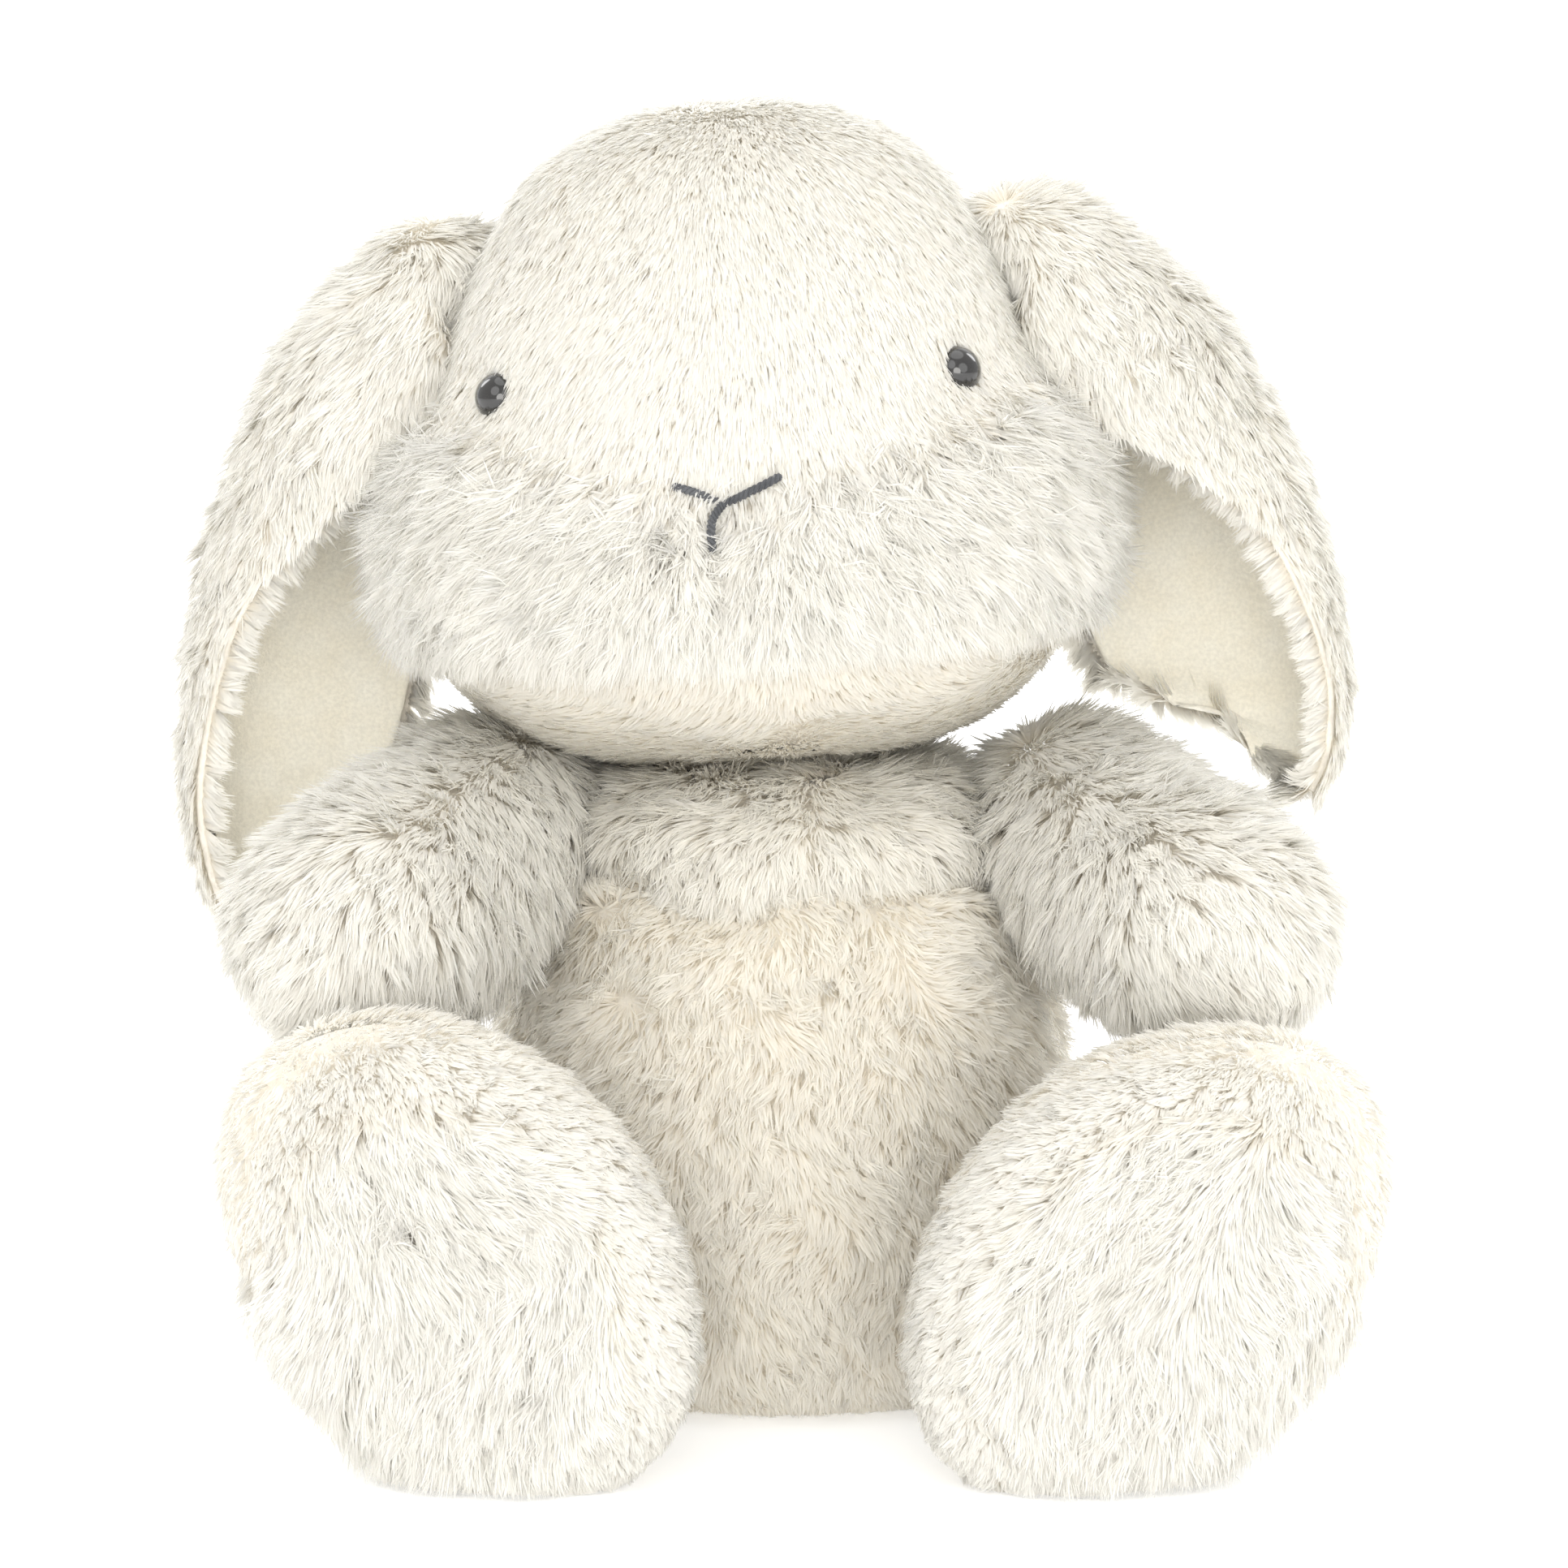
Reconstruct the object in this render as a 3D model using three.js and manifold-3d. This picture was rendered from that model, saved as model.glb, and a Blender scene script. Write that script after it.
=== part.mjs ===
// A seated stuffed bunny: sewn fur covers over fibre fill and pellets, with floppy lined ears.
// Millimetres, +Z up. The toy faces -Y, so its left side is +X. The floor is z = 0.
import * as THREE from "three";
import { mergeVertices } from "three/addons/utils/BufferGeometryUtils.js";
import Module from "manifold-3d";

const wasm = await Module();
wasm.setup();

// ---------------------------------------------------------------- driving dimensions
// Cloth and fits
const WALL = 3.6; // fur fabric: the knitted backing with the dense foot of its pile
const FIT = 0.4; // clearance between a cover and what fills it
const SEAM = 0.4; // gap left between two panels where they are sewn
const JOINT_GAP = 0.8; // clearance round a ball that sits in a hollow

// Torso
const TORSO_HEIGHT = 114;
const TORSO_HALF_WIDTH = 53;
const TORSO_HALF_DEPTH = 50;
const CHEST_SEAM_Z = 92; // the seam across the front, level with the armpits
const POUCH_TOP_Z = 42; // the pellet pouch fills the seat up to here

// Neck
const NECK_Z = 115; // the point that the head turns and nods about
const NECK_RADIUS = 13;

// Head
const HEAD_HALF_WIDTH = 66;
const HEAD_HALF_DEPTH = 53;
const HEAD_HEIGHT = 116;
const HEAD_BASE_Z = 119;
const HEAD_SHIFT = 4; // how far the head sits towards the toy's right
const HEAD_LEAN = 3.5; // degrees that the head leans to its right
const HEAD_TURN = 3; // degrees that the face turns to its right
const FACE_SEAM_Y = 8; // the seam between the face and the back of the head
const MUZZLE_SEAM_Z = 154; // the seam between the forehead and the muzzle

// Eyes
const EYE_DIAMETER = 10;
const EYE_DOME = 4.2;
const EYE_POCKET = 2.2; // how deep the eye sits in the pile
const EYE_HALF_SPACING = 46;
const EYE_Z = 192;
const SHANK_DIAMETER = 3.4;
const SHANK_LENGTH = 12;
const WASHER_DIAMETER = 13;
const WASHER_THICKNESS = 1.6;
const WASHER_CLEARANCE = 2; // the washer is flat, and the cover curves round it

// Nose, mouth and closing stitches
const STITCH_DIAMETER = 1.8;
const NOSE_TOP_Z = 172;
const NOSE_Z = 167;
const MOUTH_Z = 158;
const NOSE_HALF_WIDTH = 9;
const CLOSING_LOW_Z = 56;
const CLOSING_HIGH_Z = 84;

// Ears
const EAR_ROOT_X = 47;
const EAR_ROOT_Z = 210;
const EAR_REACH = 56; // how far out the ear hangs from its root
const EAR_RADIUS = 21; // how tightly the ear curls round its length, where it is widest
const LEFT_EAR = { drop: 103, spread: 36 }; // how far down it hangs, and extra degrees at the tip
const RIGHT_EAR = { drop: 117, spread: 0 };
const EAR_FUR = 4.2; // the outer fur layer
const EAR_LINING = 2.2; // the velour lining
const EAR_Y = 10;

// Arms
const CHEST_SHARE = 0.6; // the chest's half width at the shoulders, as a share of the torso's widest
const SHOULDER_OUT = 20.2; // from the chest's side out to the middle of the shoulder
const SHOULDER = new THREE.Vector3(TORSO_HALF_WIDTH * CHEST_SHARE + SHOULDER_OUT, -8, 105);
const SHOULDER_RADIUS = 17;
const PAW_RADIUS = 21.5;
const ARM_REACH = 47; // from the middle of the shoulder to the middle of the paw
const ARM_HEADING = 32; // degrees outwards from straight ahead
const ARM_DROP = 17; // degrees below level

// Legs
const HIP_INSET = 1; // how far inside the torso's widest line the hip is
const HIP = new THREE.Vector3(TORSO_HALF_WIDTH - HIP_INSET, -38, 26.5);
const HIP_RADIUS = 23;
const LEG_RADIUS = 25.5;
const LEG_LOWERED = 45; // degrees that a leg can swing down about its hip
const FOOT_Y = -86;
const FOOT_HALF_LENGTH = 43.5;
const FOOT_HALF_WIDTH = 32;
const FOOT_HALF_THICKNESS = 19;
const FOOT_YAW = 8; // degrees that the sole turns outwards
const LEFT_FOOT = { x: 60, z: 39, tilt: 38 }; // tilt: degrees that the toes lean outwards
const RIGHT_FOOT = { x: 55, z: 41, tilt: 29 };
const SOLE_DEPTH = 7; // how far behind the sole's front the sole's seam lies

// Tail and label
const TAIL_RADIUS = 17;
const TAIL_Z = 30;
const TAIL_SINK = 5; // how far the tail's ball presses into the back
const LABEL_WIDTH = 16;
const LABEL_HEIGHT = 24;
const LABEL_THICKNESS = 0.8;
const LABEL_X = -27;
const LABEL_Z = 40;

// Facets
const BODY_SIDES = 20;
const BODY_RINGS = 14;
const LIMB_SIDES = 12;
const BALL_SIDES = 14;
const BALL_RINGS = 8;
const EYE_SIDES = 12;
const BLOCK = 600; // a block that is more than twice the toy's size, for cutting

// ---------------------------------------------------------------- materials
const cloth = (color, roughness) =>
  new THREE.MeshStandardMaterial({ color, roughness, metalness: 0 });
const whiteFur = cloth(0xf6f4ee, 0.95);
const creamFur = cloth(0xf5eedd, 0.95);
const velour = cloth(0xece0c6, 0.9);
const fibre = cloth(0xf2f2f0, 1);
const pellets = cloth(0xdcdad4, 0.7);
const eyePlastic = cloth(0x14120f, 0.12);
const washerPlastic = cloth(0xe6e6e2, 0.5);
const darkThread = cloth(0x55565a, 0.85);
const paleThread = cloth(0xe8e0cc, 0.85);
const labelTape = cloth(0xf4f4f2, 0.8);

// ---------------------------------------------------------------- shapes and solids
const UP = new THREE.Vector3(0, 0, 1);
const BACKWARDS = new THREE.Vector3(0, 1, 0);
const radians = THREE.MathUtils.degToRad;
const clamp = THREE.MathUtils.clamp;

// A geometry with its positions only, and with each point kept once.
function welded(geometry) {
  const bare = geometry.index ? geometry.toNonIndexed() : geometry.clone();
  for (const name of Object.keys(bare.attributes)) {
    if (name !== "position") bare.deleteAttribute(name);
  }
  return mergeVertices(bare, 1e-3);
}

// A closed geometry as a solid. An inset moves every point inwards, against its normal.
function solid(geometry, inset = 0) {
  const skin = welded(geometry);
  skin.computeVertexNormals();
  const at = skin.attributes.position;
  const facing = skin.attributes.normal;
  const point = new THREE.Vector3();
  const normal = new THREE.Vector3();
  for (let i = 0; i < at.count; i++) {
    normal.fromBufferAttribute(facing, i);
    point.fromBufferAttribute(at, i).addScaledVector(normal, -inset);
    at.setXYZ(i, point.x, point.y, point.z);
  }
  const mesh = new wasm.Mesh({
    numProp: 3,
    vertProperties: at.array,
    triVerts: new Uint32Array(skin.index.array),
  });
  return new wasm.Manifold(mesh);
}

function geometryOf(made) {
  const mesh = made.getMesh();
  const geometry = new THREE.BufferGeometry();
  const points = new Float32Array(mesh.vertProperties);
  geometry.setAttribute("position", new THREE.BufferAttribute(points, 3));
  geometry.setIndex(new THREE.BufferAttribute(new Uint32Array(mesh.triVerts), 1));
  geometry.computeVertexNormals();
  return geometry;
}

// A geometry turned so that its own axis points along a direction, and moved to a point.
function aimed(geometry, axis, direction, point) {
  const turn = new THREE.Quaternion().setFromUnitVectors(axis, direction.clone().normalize());
  geometry.applyQuaternion(turn);
  geometry.translate(point.x, point.y, point.z);
  return geometry;
}

// Everything that lies along a direction from a point, as a large block.
function halfSpace(point, direction) {
  const block = new THREE.BoxGeometry(BLOCK, BLOCK, BLOCK);
  block.translate(0, 0, BLOCK / 2);
  return solid(aimed(block, UP, direction, point));
}

// The two panels that a plane parts a cover into, with the seam's gap between them.
function parted(cover, point, direction) {
  const step = direction.clone().normalize().multiplyScalar(SEAM / 2);
  const ahead = cover.intersect(halfSpace(point.clone().add(step), direction));
  const behind = cover.intersect(halfSpace(point.clone().sub(step), direction.clone().negate()));
  return [ahead, behind];
}

function ball(centre, radius) {
  const geometry = new THREE.SphereGeometry(radius, BALL_SIDES, BALL_RINGS);
  geometry.translate(centre.x, centre.y, centre.z);
  return solid(geometry);
}

// A round bar along +Y, as a lathe profile.
function bar(radius, low, high) {
  const profile = [
    new THREE.Vector2(0, low),
    new THREE.Vector2(radius, low),
    new THREE.Vector2(radius, high),
    new THREE.Vector2(0, high),
  ];
  return new THREE.LatheGeometry(profile, EYE_SIDES);
}

// ---------------------------------------------------------------- bodies of oval sections
// A row is one section: its height, half width, half depth and its middle's y. Smooth curves
// run through the rows, and `t` goes from 0 at the bottom to 1 at the top.
function sections(rows) {
  const sizes = rows.map(([z, width, depth]) => new THREE.Vector3(width, depth, z));
  const middles = rows.map(([z, , , y]) => new THREE.Vector3(0, y, z));
  const size = new THREE.CatmullRomCurve3(sizes);
  const middle = new THREE.CatmullRomCurve3(middles);
  return (t) => {
    const s = size.getPoint(t);
    return { width: s.x, depth: s.y, z: s.z, y: middle.getPoint(t).y };
  };
}

function lofted(rows) {
  const section = sections(rows);
  const [low] = rows[0];
  const [high] = rows[rows.length - 1];
  const geometry = new THREE.SphereGeometry(1, BODY_SIDES, BODY_RINGS);
  geometry.rotateX(Math.PI / 2);
  const at = geometry.attributes.position;
  const v = new THREE.Vector3();
  for (let i = 0; i < at.count; i++) {
    v.fromBufferAttribute(at, i);
    const t = 1 - Math.acos(clamp(v.z, -1, 1)) / Math.PI;
    const { width, depth, z, y } = section(t);
    const ring = Math.max(Math.hypot(v.x, v.y), 1e-9);
    const onAxis = ring < 1e-6 ? 0 : 1 / ring;
    at.setXYZ(i, v.x * onAxis * width, y + v.y * onAxis * depth, clamp(z, low, high));
  }
  return geometry;
}

// The point of such a body's skin at an x and a height. `facing` is -1 for its front, 1 for
// its back.
function skinPoint(rows, x, z, facing) {
  const section = sections(rows);
  const HALVINGS = 24;
  let low = 0;
  let high = 1;
  for (let i = 0; i < HALVINGS; i++) {
    const half = (low + high) / 2;
    if (section(half).z < z) low = half;
    else high = half;
  }
  const { width, depth, y } = section(low);
  const share = Math.sqrt(Math.max(0, 1 - (x / width) ** 2));
  return new THREE.Vector3(x, y + facing * depth * share, z);
}

// The way that the skin faces at such a point.
function skinNormal(rows, x, z, facing) {
  const STEP = 1;
  const here = skinPoint(rows, x, z, facing);
  const across = skinPoint(rows, x + STEP, z, facing).sub(here);
  const up = skinPoint(rows, x, z + STEP, facing).sub(here);
  return across.cross(up).normalize().multiplyScalar(-facing);
}

// A thread that lies on the skin through points given as [x, z].
function thread(rows, points, facing) {
  const THREAD_SIDES = 6;
  const THREAD_STEPS = 8;
  const lift = STITCH_DIAMETER / 2 + FIT;
  const path = points.map(([x, z]) =>
    skinPoint(rows, x, z, facing).addScaledVector(skinNormal(rows, x, z, facing), lift),
  );
  const section = new THREE.Shape();
  section.absarc(0, 0, STITCH_DIAMETER / 2, 0, Math.PI * 2);
  const geometry = new THREE.ExtrudeGeometry(section, {
    steps: THREAD_STEPS,
    curveSegments: THREAD_SIDES,
    bevelEnabled: false,
    extrudePath: new THREE.CatmullRomCurve3(path),
  });
  return solid(geometry);
}

// A limb: a round bar whose ends are balls, from one middle to the other.
function limb(from, to, fromRadius, toRadius) {
  const END_STEPS = 4;
  const length = from.distanceTo(to);
  const taper = Math.asin((toRadius - fromRadius) / length);
  const profile = [];
  for (let i = 0; i <= END_STEPS; i++) {
    const angle = -Math.PI / 2 + ((Math.PI / 2 - taper) * i) / END_STEPS;
    const x = i === 0 ? 0 : fromRadius * Math.cos(angle);
    profile.push(new THREE.Vector2(x, fromRadius * Math.sin(angle)));
  }
  for (let i = 0; i <= END_STEPS; i++) {
    const angle = -taper + ((Math.PI / 2 + taper) * i) / END_STEPS;
    const x = i === END_STEPS ? 0 : toRadius * Math.cos(angle);
    profile.push(new THREE.Vector2(x, length + toRadius * Math.sin(angle)));
  }
  const geometry = new THREE.LatheGeometry(profile, LIMB_SIDES);
  return aimed(geometry, BACKWARDS, to.clone().sub(from), from);
}

// ---------------------------------------------------------------- the toy and its head
const toy = new THREE.Group();
const head = new THREE.Group();
head.position.set(-HEAD_SHIFT, 0, NECK_Z);
head.rotation.set(0, radians(-HEAD_LEAN), radians(-HEAD_TURN));
toy.add(head);

function add(name, made, look) {
  const mesh = new THREE.Mesh(geometryOf(made), look.clone());
  mesh.name = name;
  toy.add(mesh);
}

// The head's pieces are worked out upright, and lean and turn with it afterwards.
function addToHead(name, made, look) {
  const mesh = new THREE.Mesh(geometryOf(made), look.clone());
  mesh.geometry.translate(0, 0, -NECK_Z);
  mesh.name = name;
  head.add(mesh);
}

const onSide = (p, side) => new THREE.Vector3(p.x * side, p.y, p.z);
const SIDES = [
  { name: "left", side: 1, foot: LEFT_FOOT },
  { name: "right", side: -1, foot: RIGHT_FOOT },
];
const NECK = new THREE.Vector3(-HEAD_SHIFT, 0, NECK_Z);
const HEAD_NECK = new THREE.Vector3(0, 0, NECK_Z); // the same point, before the head leans

// ---------------------------------------------------------------- arms
function makeArm({ name, side }) {
  const level = Math.cos(radians(ARM_DROP));
  const along = new THREE.Vector3(
    Math.sin(radians(ARM_HEADING)) * level * side,
    -Math.cos(radians(ARM_HEADING)) * level,
    -Math.sin(radians(ARM_DROP)),
  );
  const shoulder = onSide(SHOULDER, side);
  const paw = shoulder.clone().addScaledVector(along, ARM_REACH);
  const shape = limb(shoulder, paw, SHOULDER_RADIUS, PAW_RADIUS);
  const cover = solid(shape).subtract(solid(shape, WALL));
  // The seams run along the top and the bottom of the arm.
  const outwards = UP.clone().cross(along).multiplyScalar(side);
  const [outer, inner] = parted(cover, shoulder, outwards);
  add(name + "_arm_outer_panel", outer, whiteFur);
  add(name + "_arm_inner_panel", inner, whiteFur);
  add(name + "_arm_stuffing", solid(shape, WALL + FIT), fibre);
}

// ---------------------------------------------------------------- legs
function thigh({ side, foot }) {
  const HEEL_BACK = 8; // the thigh ends this far behind the middle of the foot
  const ankle = new THREE.Vector3(foot.x * side, FOOT_Y + HEEL_BACK, LEG_RADIUS);
  return limb(onSide(HIP, side), ankle, HIP_RADIUS, LEG_RADIUS);
}

// Room in the torso for the thigh, all the way from sitting to lowered.
function thighRoom(which) {
  const STEPS = 3;
  const hip = onSide(HIP, which.side);
  let room = solid(thigh(which), -JOINT_GAP);
  for (let i = 1; i <= STEPS; i++) {
    const lowered = thigh(which).translate(-hip.x, -hip.y, -hip.z);
    lowered.rotateX(radians((LEG_LOWERED * i) / STEPS)).translate(hip.x, hip.y, hip.z);
    room = room.add(solid(lowered, -JOINT_GAP));
  }
  return room;
}

function footEgg({ side, foot }) {
  const egg = new THREE.SphereGeometry(1, BALL_SIDES, BALL_RINGS);
  egg.rotateX(Math.PI / 2);
  egg.scale(FOOT_HALF_WIDTH, FOOT_HALF_THICKNESS, FOOT_HALF_LENGTH);
  egg.rotateY(radians(foot.tilt * side));
  egg.rotateZ(radians(FOOT_YAW * side));
  egg.translate(foot.x * side, FOOT_Y, foot.z);
  return egg;
}

function makeLeg(which) {
  const { name, side, foot } = which;
  const shape = (inset) =>
    solid(thigh(which), inset)
      .add(solid(footEgg(which), inset))
      .intersect(halfSpace(new THREE.Vector3(0, 0, inset), UP));
  const yaw = radians(FOOT_YAW * side);
  const forwards = new THREE.Vector3(Math.sin(yaw), -Math.cos(yaw), 0);
  const middle = new THREE.Vector3(foot.x * side, FOOT_Y, foot.z);
  const soleSeam = middle.clone().addScaledVector(forwards, FOOT_HALF_THICKNESS - SOLE_DEPTH);
  const cover = shape(0).subtract(shape(WALL));
  const [sole, legCover] = parted(cover, soleSeam, forwards);
  add(name + "_sole_panel", sole, whiteFur);
  add(name + "_leg_cover", legCover, whiteFur);
  const [footFill, legFill] = parted(shape(WALL + FIT), middle, forwards);
  add(name + "_foot_pellets", footFill, pellets);
  add(name + "_leg_stuffing", legFill, fibre);
}

// ---------------------------------------------------------------- torso
// A pear: widest a little above the seat, and narrow at the neck. Shares of its full size.
const torsoRows = [
  [0, 0, 0, 0],
  [0, 0.66, 0.66, 0],
  [0.07, 0.88, 0.88, 0],
  [0.24, 1, 1, 0],
  [0.46, 1, 1, -1],
  [0.64, 0.92, 0.93, -1],
  [0.8, 0.77, 0.79, 0],
  [0.92, 0.58, 0.58, 1],
  [0.985, 0.34, 0.34, 2],
  [1, 0, 0, 2],
].map(([z, width, depth, y]) => [
  z * TORSO_HEIGHT,
  width * TORSO_HALF_WIDTH,
  depth * TORSO_HALF_DEPTH,
  y,
]);

// The hollows that the neck, the shoulders and the hips sit in.
function torsoHollows() {
  let hollows = ball(NECK, NECK_RADIUS + JOINT_GAP);
  for (const which of SIDES) {
    const shoulder = onSide(SHOULDER, which.side);
    hollows = hollows.add(ball(shoulder, SHOULDER_RADIUS + JOINT_GAP)).add(thighRoom(which));
  }
  return hollows;
}

function makeTorso() {
  const shape = lofted(torsoRows);
  const hollows = torsoHollows();
  const cover = solid(shape).subtract(solid(shape, WALL)).subtract(hollows);
  const [back, front] = parted(cover, new THREE.Vector3(0, 2, 0), BACKWARDS);
  const [chest, belly] = parted(front, new THREE.Vector3(0, 0, CHEST_SEAM_Z), UP);
  add("back_panel", back, whiteFur);
  add("chest_panel", chest, whiteFur);
  add("belly_panel", belly, creamFur);
  const fill = solid(shape, WALL + FIT).subtract(hollows);
  const [stuffing, pouch] = parted(fill, new THREE.Vector3(0, 0, POUCH_TOP_Z), UP);
  add("torso_stuffing", stuffing, fibre);
  add("seat_pellet_pouch", pouch, pellets);
  add("neck_stuffing", ball(NECK, NECK_RADIUS), fibre);
  const closing = [
    [0, CLOSING_LOW_Z],
    [0, (CLOSING_LOW_Z + CLOSING_HIGH_Z) / 2],
    [0, CLOSING_HIGH_Z],
  ];
  add("closing_stitch", thread(torsoRows, closing, 1), paleThread);
}

function makeTail() {
  const back = skinPoint(torsoRows, 0, TAIL_Z, 1);
  const centre = back.clone().addScaledVector(BACKWARDS, TAIL_RADIUS - TAIL_SINK);
  const clearance = solid(lofted(torsoRows), -FIT);
  const cover = ball(centre, TAIL_RADIUS).subtract(ball(centre, TAIL_RADIUS - WALL));
  const fill = ball(centre, TAIL_RADIUS - WALL - FIT);
  const rim = halfSpace(back.clone().addScaledVector(BACKWARDS, SEAM), BACKWARDS);
  add("tail_cover", cover.intersect(rim).subtract(clearance), whiteFur);
  add("tail_stuffing", fill.intersect(rim).subtract(clearance), fibre);
}

function makeLabel() {
  const normal = skinNormal(torsoRows, LABEL_X, LABEL_Z, 1);
  const at = skinPoint(torsoRows, LABEL_X, LABEL_Z, 1);
  at.addScaledVector(normal, FIT + LABEL_THICKNESS / 2);
  const tape = new THREE.BoxGeometry(LABEL_WIDTH, LABEL_THICKNESS, LABEL_HEIGHT);
  add("care_label", solid(aimed(tape, BACKWARDS, normal, at)), labelTape);
}

// ---------------------------------------------------------------- head
// Full at the cheeks, and tapering to a rounded crown. Shares of its full size.
const headRows = [
  [0, 0, 0, -6],
  [0.01, 0.33, 0.3, -7],
  [0.07, 0.62, 0.64, -8],
  [0.18, 0.87, 0.92, -8],
  [0.33, 1, 1.02, -6],
  [0.47, 0.96, 1, -4],
  [0.62, 0.85, 0.93, -2],
  [0.78, 0.71, 0.8, 0],
  [0.92, 0.52, 0.57, 2],
  [0.985, 0.26, 0.28, 3],
  [1, 0, 0, 3],
].map(([z, width, depth, y]) => [
  HEAD_BASE_Z + z * HEAD_HEIGHT,
  width * HEAD_HALF_WIDTH,
  depth * HEAD_HALF_DEPTH,
  y,
]);

// A piece along the eye's own axis, at a depth below the skin of the head.
function onEyeAxis(geometry, side, depth) {
  const x = EYE_HALF_SPACING * side;
  const normal = skinNormal(headRows, x, EYE_Z, -1);
  const at = skinPoint(headRows, x, EYE_Z, -1).addScaledVector(normal, -depth);
  return solid(aimed(geometry, BACKWARDS, normal, at));
}

function eyeButton() {
  const DOME_STEPS = 5;
  const shank = SHANK_DIAMETER / 2;
  const profile = [
    new THREE.Vector2(0, -SHANK_LENGTH),
    new THREE.Vector2(shank, -SHANK_LENGTH),
    new THREE.Vector2(shank, 0),
  ];
  for (let i = 0; i <= DOME_STEPS; i++) {
    const angle = (Math.PI / 2) * (i / DOME_STEPS);
    const x = i === DOME_STEPS ? 0 : (EYE_DIAMETER / 2) * Math.cos(angle);
    profile.push(new THREE.Vector2(x, EYE_DOME * Math.sin(angle)));
  }
  return new THREE.LatheGeometry(profile, EYE_SIDES);
}

function makeHead() {
  const shape = lofted(headRows);
  const neckHollow = ball(HEAD_NECK, NECK_RADIUS + JOINT_GAP);
  const washerDepth = WALL + WASHER_CLEARANCE + WASHER_THICKNESS;
  const shankRadius = SHANK_DIAMETER / 2 + FIT;
  const OVER = 6; // how far a cutter stands out of the skin
  let coverCuts = neckHollow;
  let fillCuts = neckHollow;
  for (const { name, side } of SIDES) {
    const pocket = bar(EYE_DIAMETER / 2 + FIT, 0, EYE_POCKET + OVER);
    const hole = bar(shankRadius, -SHANK_LENGTH - FIT, OVER);
    const room = bar(WASHER_DIAMETER / 2 + FIT, -FIT, WASHER_THICKNESS + OVER);
    const holeMade = onEyeAxis(hole, side, EYE_POCKET);
    coverCuts = coverCuts.add(onEyeAxis(pocket, side, EYE_POCKET)).add(holeMade);
    fillCuts = fillCuts.add(onEyeAxis(room, side, washerDepth)).add(holeMade);
    const disc = bar(WASHER_DIAMETER / 2, 0, WASHER_THICKNESS);
    const washer = onEyeAxis(disc, side, washerDepth).subtract(holeMade);
    addToHead(name + "_eye", onEyeAxis(eyeButton(), side, EYE_POCKET - FIT), eyePlastic);
    addToHead(name + "_eye_washer", washer, washerPlastic);
  }
  const cover = solid(shape).subtract(solid(shape, WALL)).subtract(coverCuts);
  const [back, face] = parted(cover, new THREE.Vector3(0, FACE_SEAM_Y, 0), BACKWARDS);
  const [forehead, muzzle] = parted(face, new THREE.Vector3(0, 0, MUZZLE_SEAM_Z), UP);
  addToHead("head_back_panel", back, whiteFur);
  addToHead("forehead_panel", forehead, whiteFur);
  addToHead("muzzle_panel", muzzle, whiteFur);
  addToHead("head_stuffing", solid(shape, WALL + FIT).subtract(fillCuts), fibre);
}

// A stitched nose: one long stitch pulled down at its middle, and one upright stitch below it.
function makeNose() {
  const half = (NOSE_TOP_Z + NOSE_Z) / 2;
  const nose = [
    [-NOSE_HALF_WIDTH, NOSE_TOP_Z],
    [-NOSE_HALF_WIDTH / 2, half],
    [0, NOSE_Z],
    [NOSE_HALF_WIDTH / 2, half],
    [NOSE_HALF_WIDTH, NOSE_TOP_Z],
  ];
  const mouthTop = NOSE_Z - STITCH_DIAMETER;
  const mouth = [
    [0, mouthTop],
    [0, (mouthTop + MOUTH_Z) / 2],
    [0, MOUTH_Z],
  ];
  addToHead("nose_stitch", thread(headRows, nose, -1), darkThread);
  addToHead("mouth_stitch", thread(headRows, mouth, -1), darkThread);
}

// ---------------------------------------------------------------- ears
// From the root to the tip: shares of the reach, the drop and the radius, and then the degrees
// that the front edge and the back edge come round, away from the ear's outermost line. Past a
// quarter turn the leaf stops curling, and goes straight inwards behind the head.
const earRows = [
  [0, 0, 0.5, 90, 75],
  [0.22, 0.034, 0.72, 106, 76],
  [0.6, 0.18, 0.95, 82, 90],
  [0.75, 0.34, 1, 64, 118],
  [0.9, 0.52, 1, 48, 136],
  [1, 0.79, 0.86, 30, 140],
  [0.985, 0.93, 0.62, 24, 130],
  [0.93, 1, 0.33, 24, 90],
];

// One layer of an ear: a curled leaf between two distances from the middle of its thickness.
function earLayer(side, near, far) {
  const ALONG = 12;
  const ACROSS = 9;
  const QUARTER = Math.PI / 2;
  const { drop, spread } = side > 0 ? LEFT_EAR : RIGHT_EAR;
  const path = new THREE.CatmullRomCurve3(
    earRows.map(([out, down]) => new THREE.Vector3(out * EAR_REACH, 0, -down * drop)),
  );
  const curls = new THREE.CatmullRomCurve3(
    earRows.map(([, , radius, front, back]) => new THREE.Vector3(radius * EAR_RADIUS, front, back)),
  );
  const points = [];
  for (const offset of [near, far]) {
    for (let i = 0; i <= ALONG; i++) {
      const middle = path.getPoint(i / ALONG);
      const along = path.getTangent(i / ALONG);
      const outwards = BACKWARDS.clone().cross(along).negate();
      const { x: radius, y: front, z: back } = curls.getPoint(i / ALONG);
      for (let j = 0; j <= ACROSS; j++) {
        const angle = radians(-front + ((front + back + (spread * i) / ALONG) * j) / ACROSS);
        const bent = Math.min(angle, QUARTER);
        const inwards = radius * (1 - Math.cos(bent) + angle - bent);
        const p = middle.clone();
        p.addScaledVector(outwards, offset * Math.cos(bent) - inwards);
        p.addScaledVector(BACKWARDS, (radius + offset) * Math.sin(bent));
        points.push((EAR_ROOT_X + p.x) * side, EAR_Y + p.y, EAR_ROOT_Z + p.z);
      }
    }
  }
  return solid(slab(points, ALONG, ACROSS, side));
}

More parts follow.
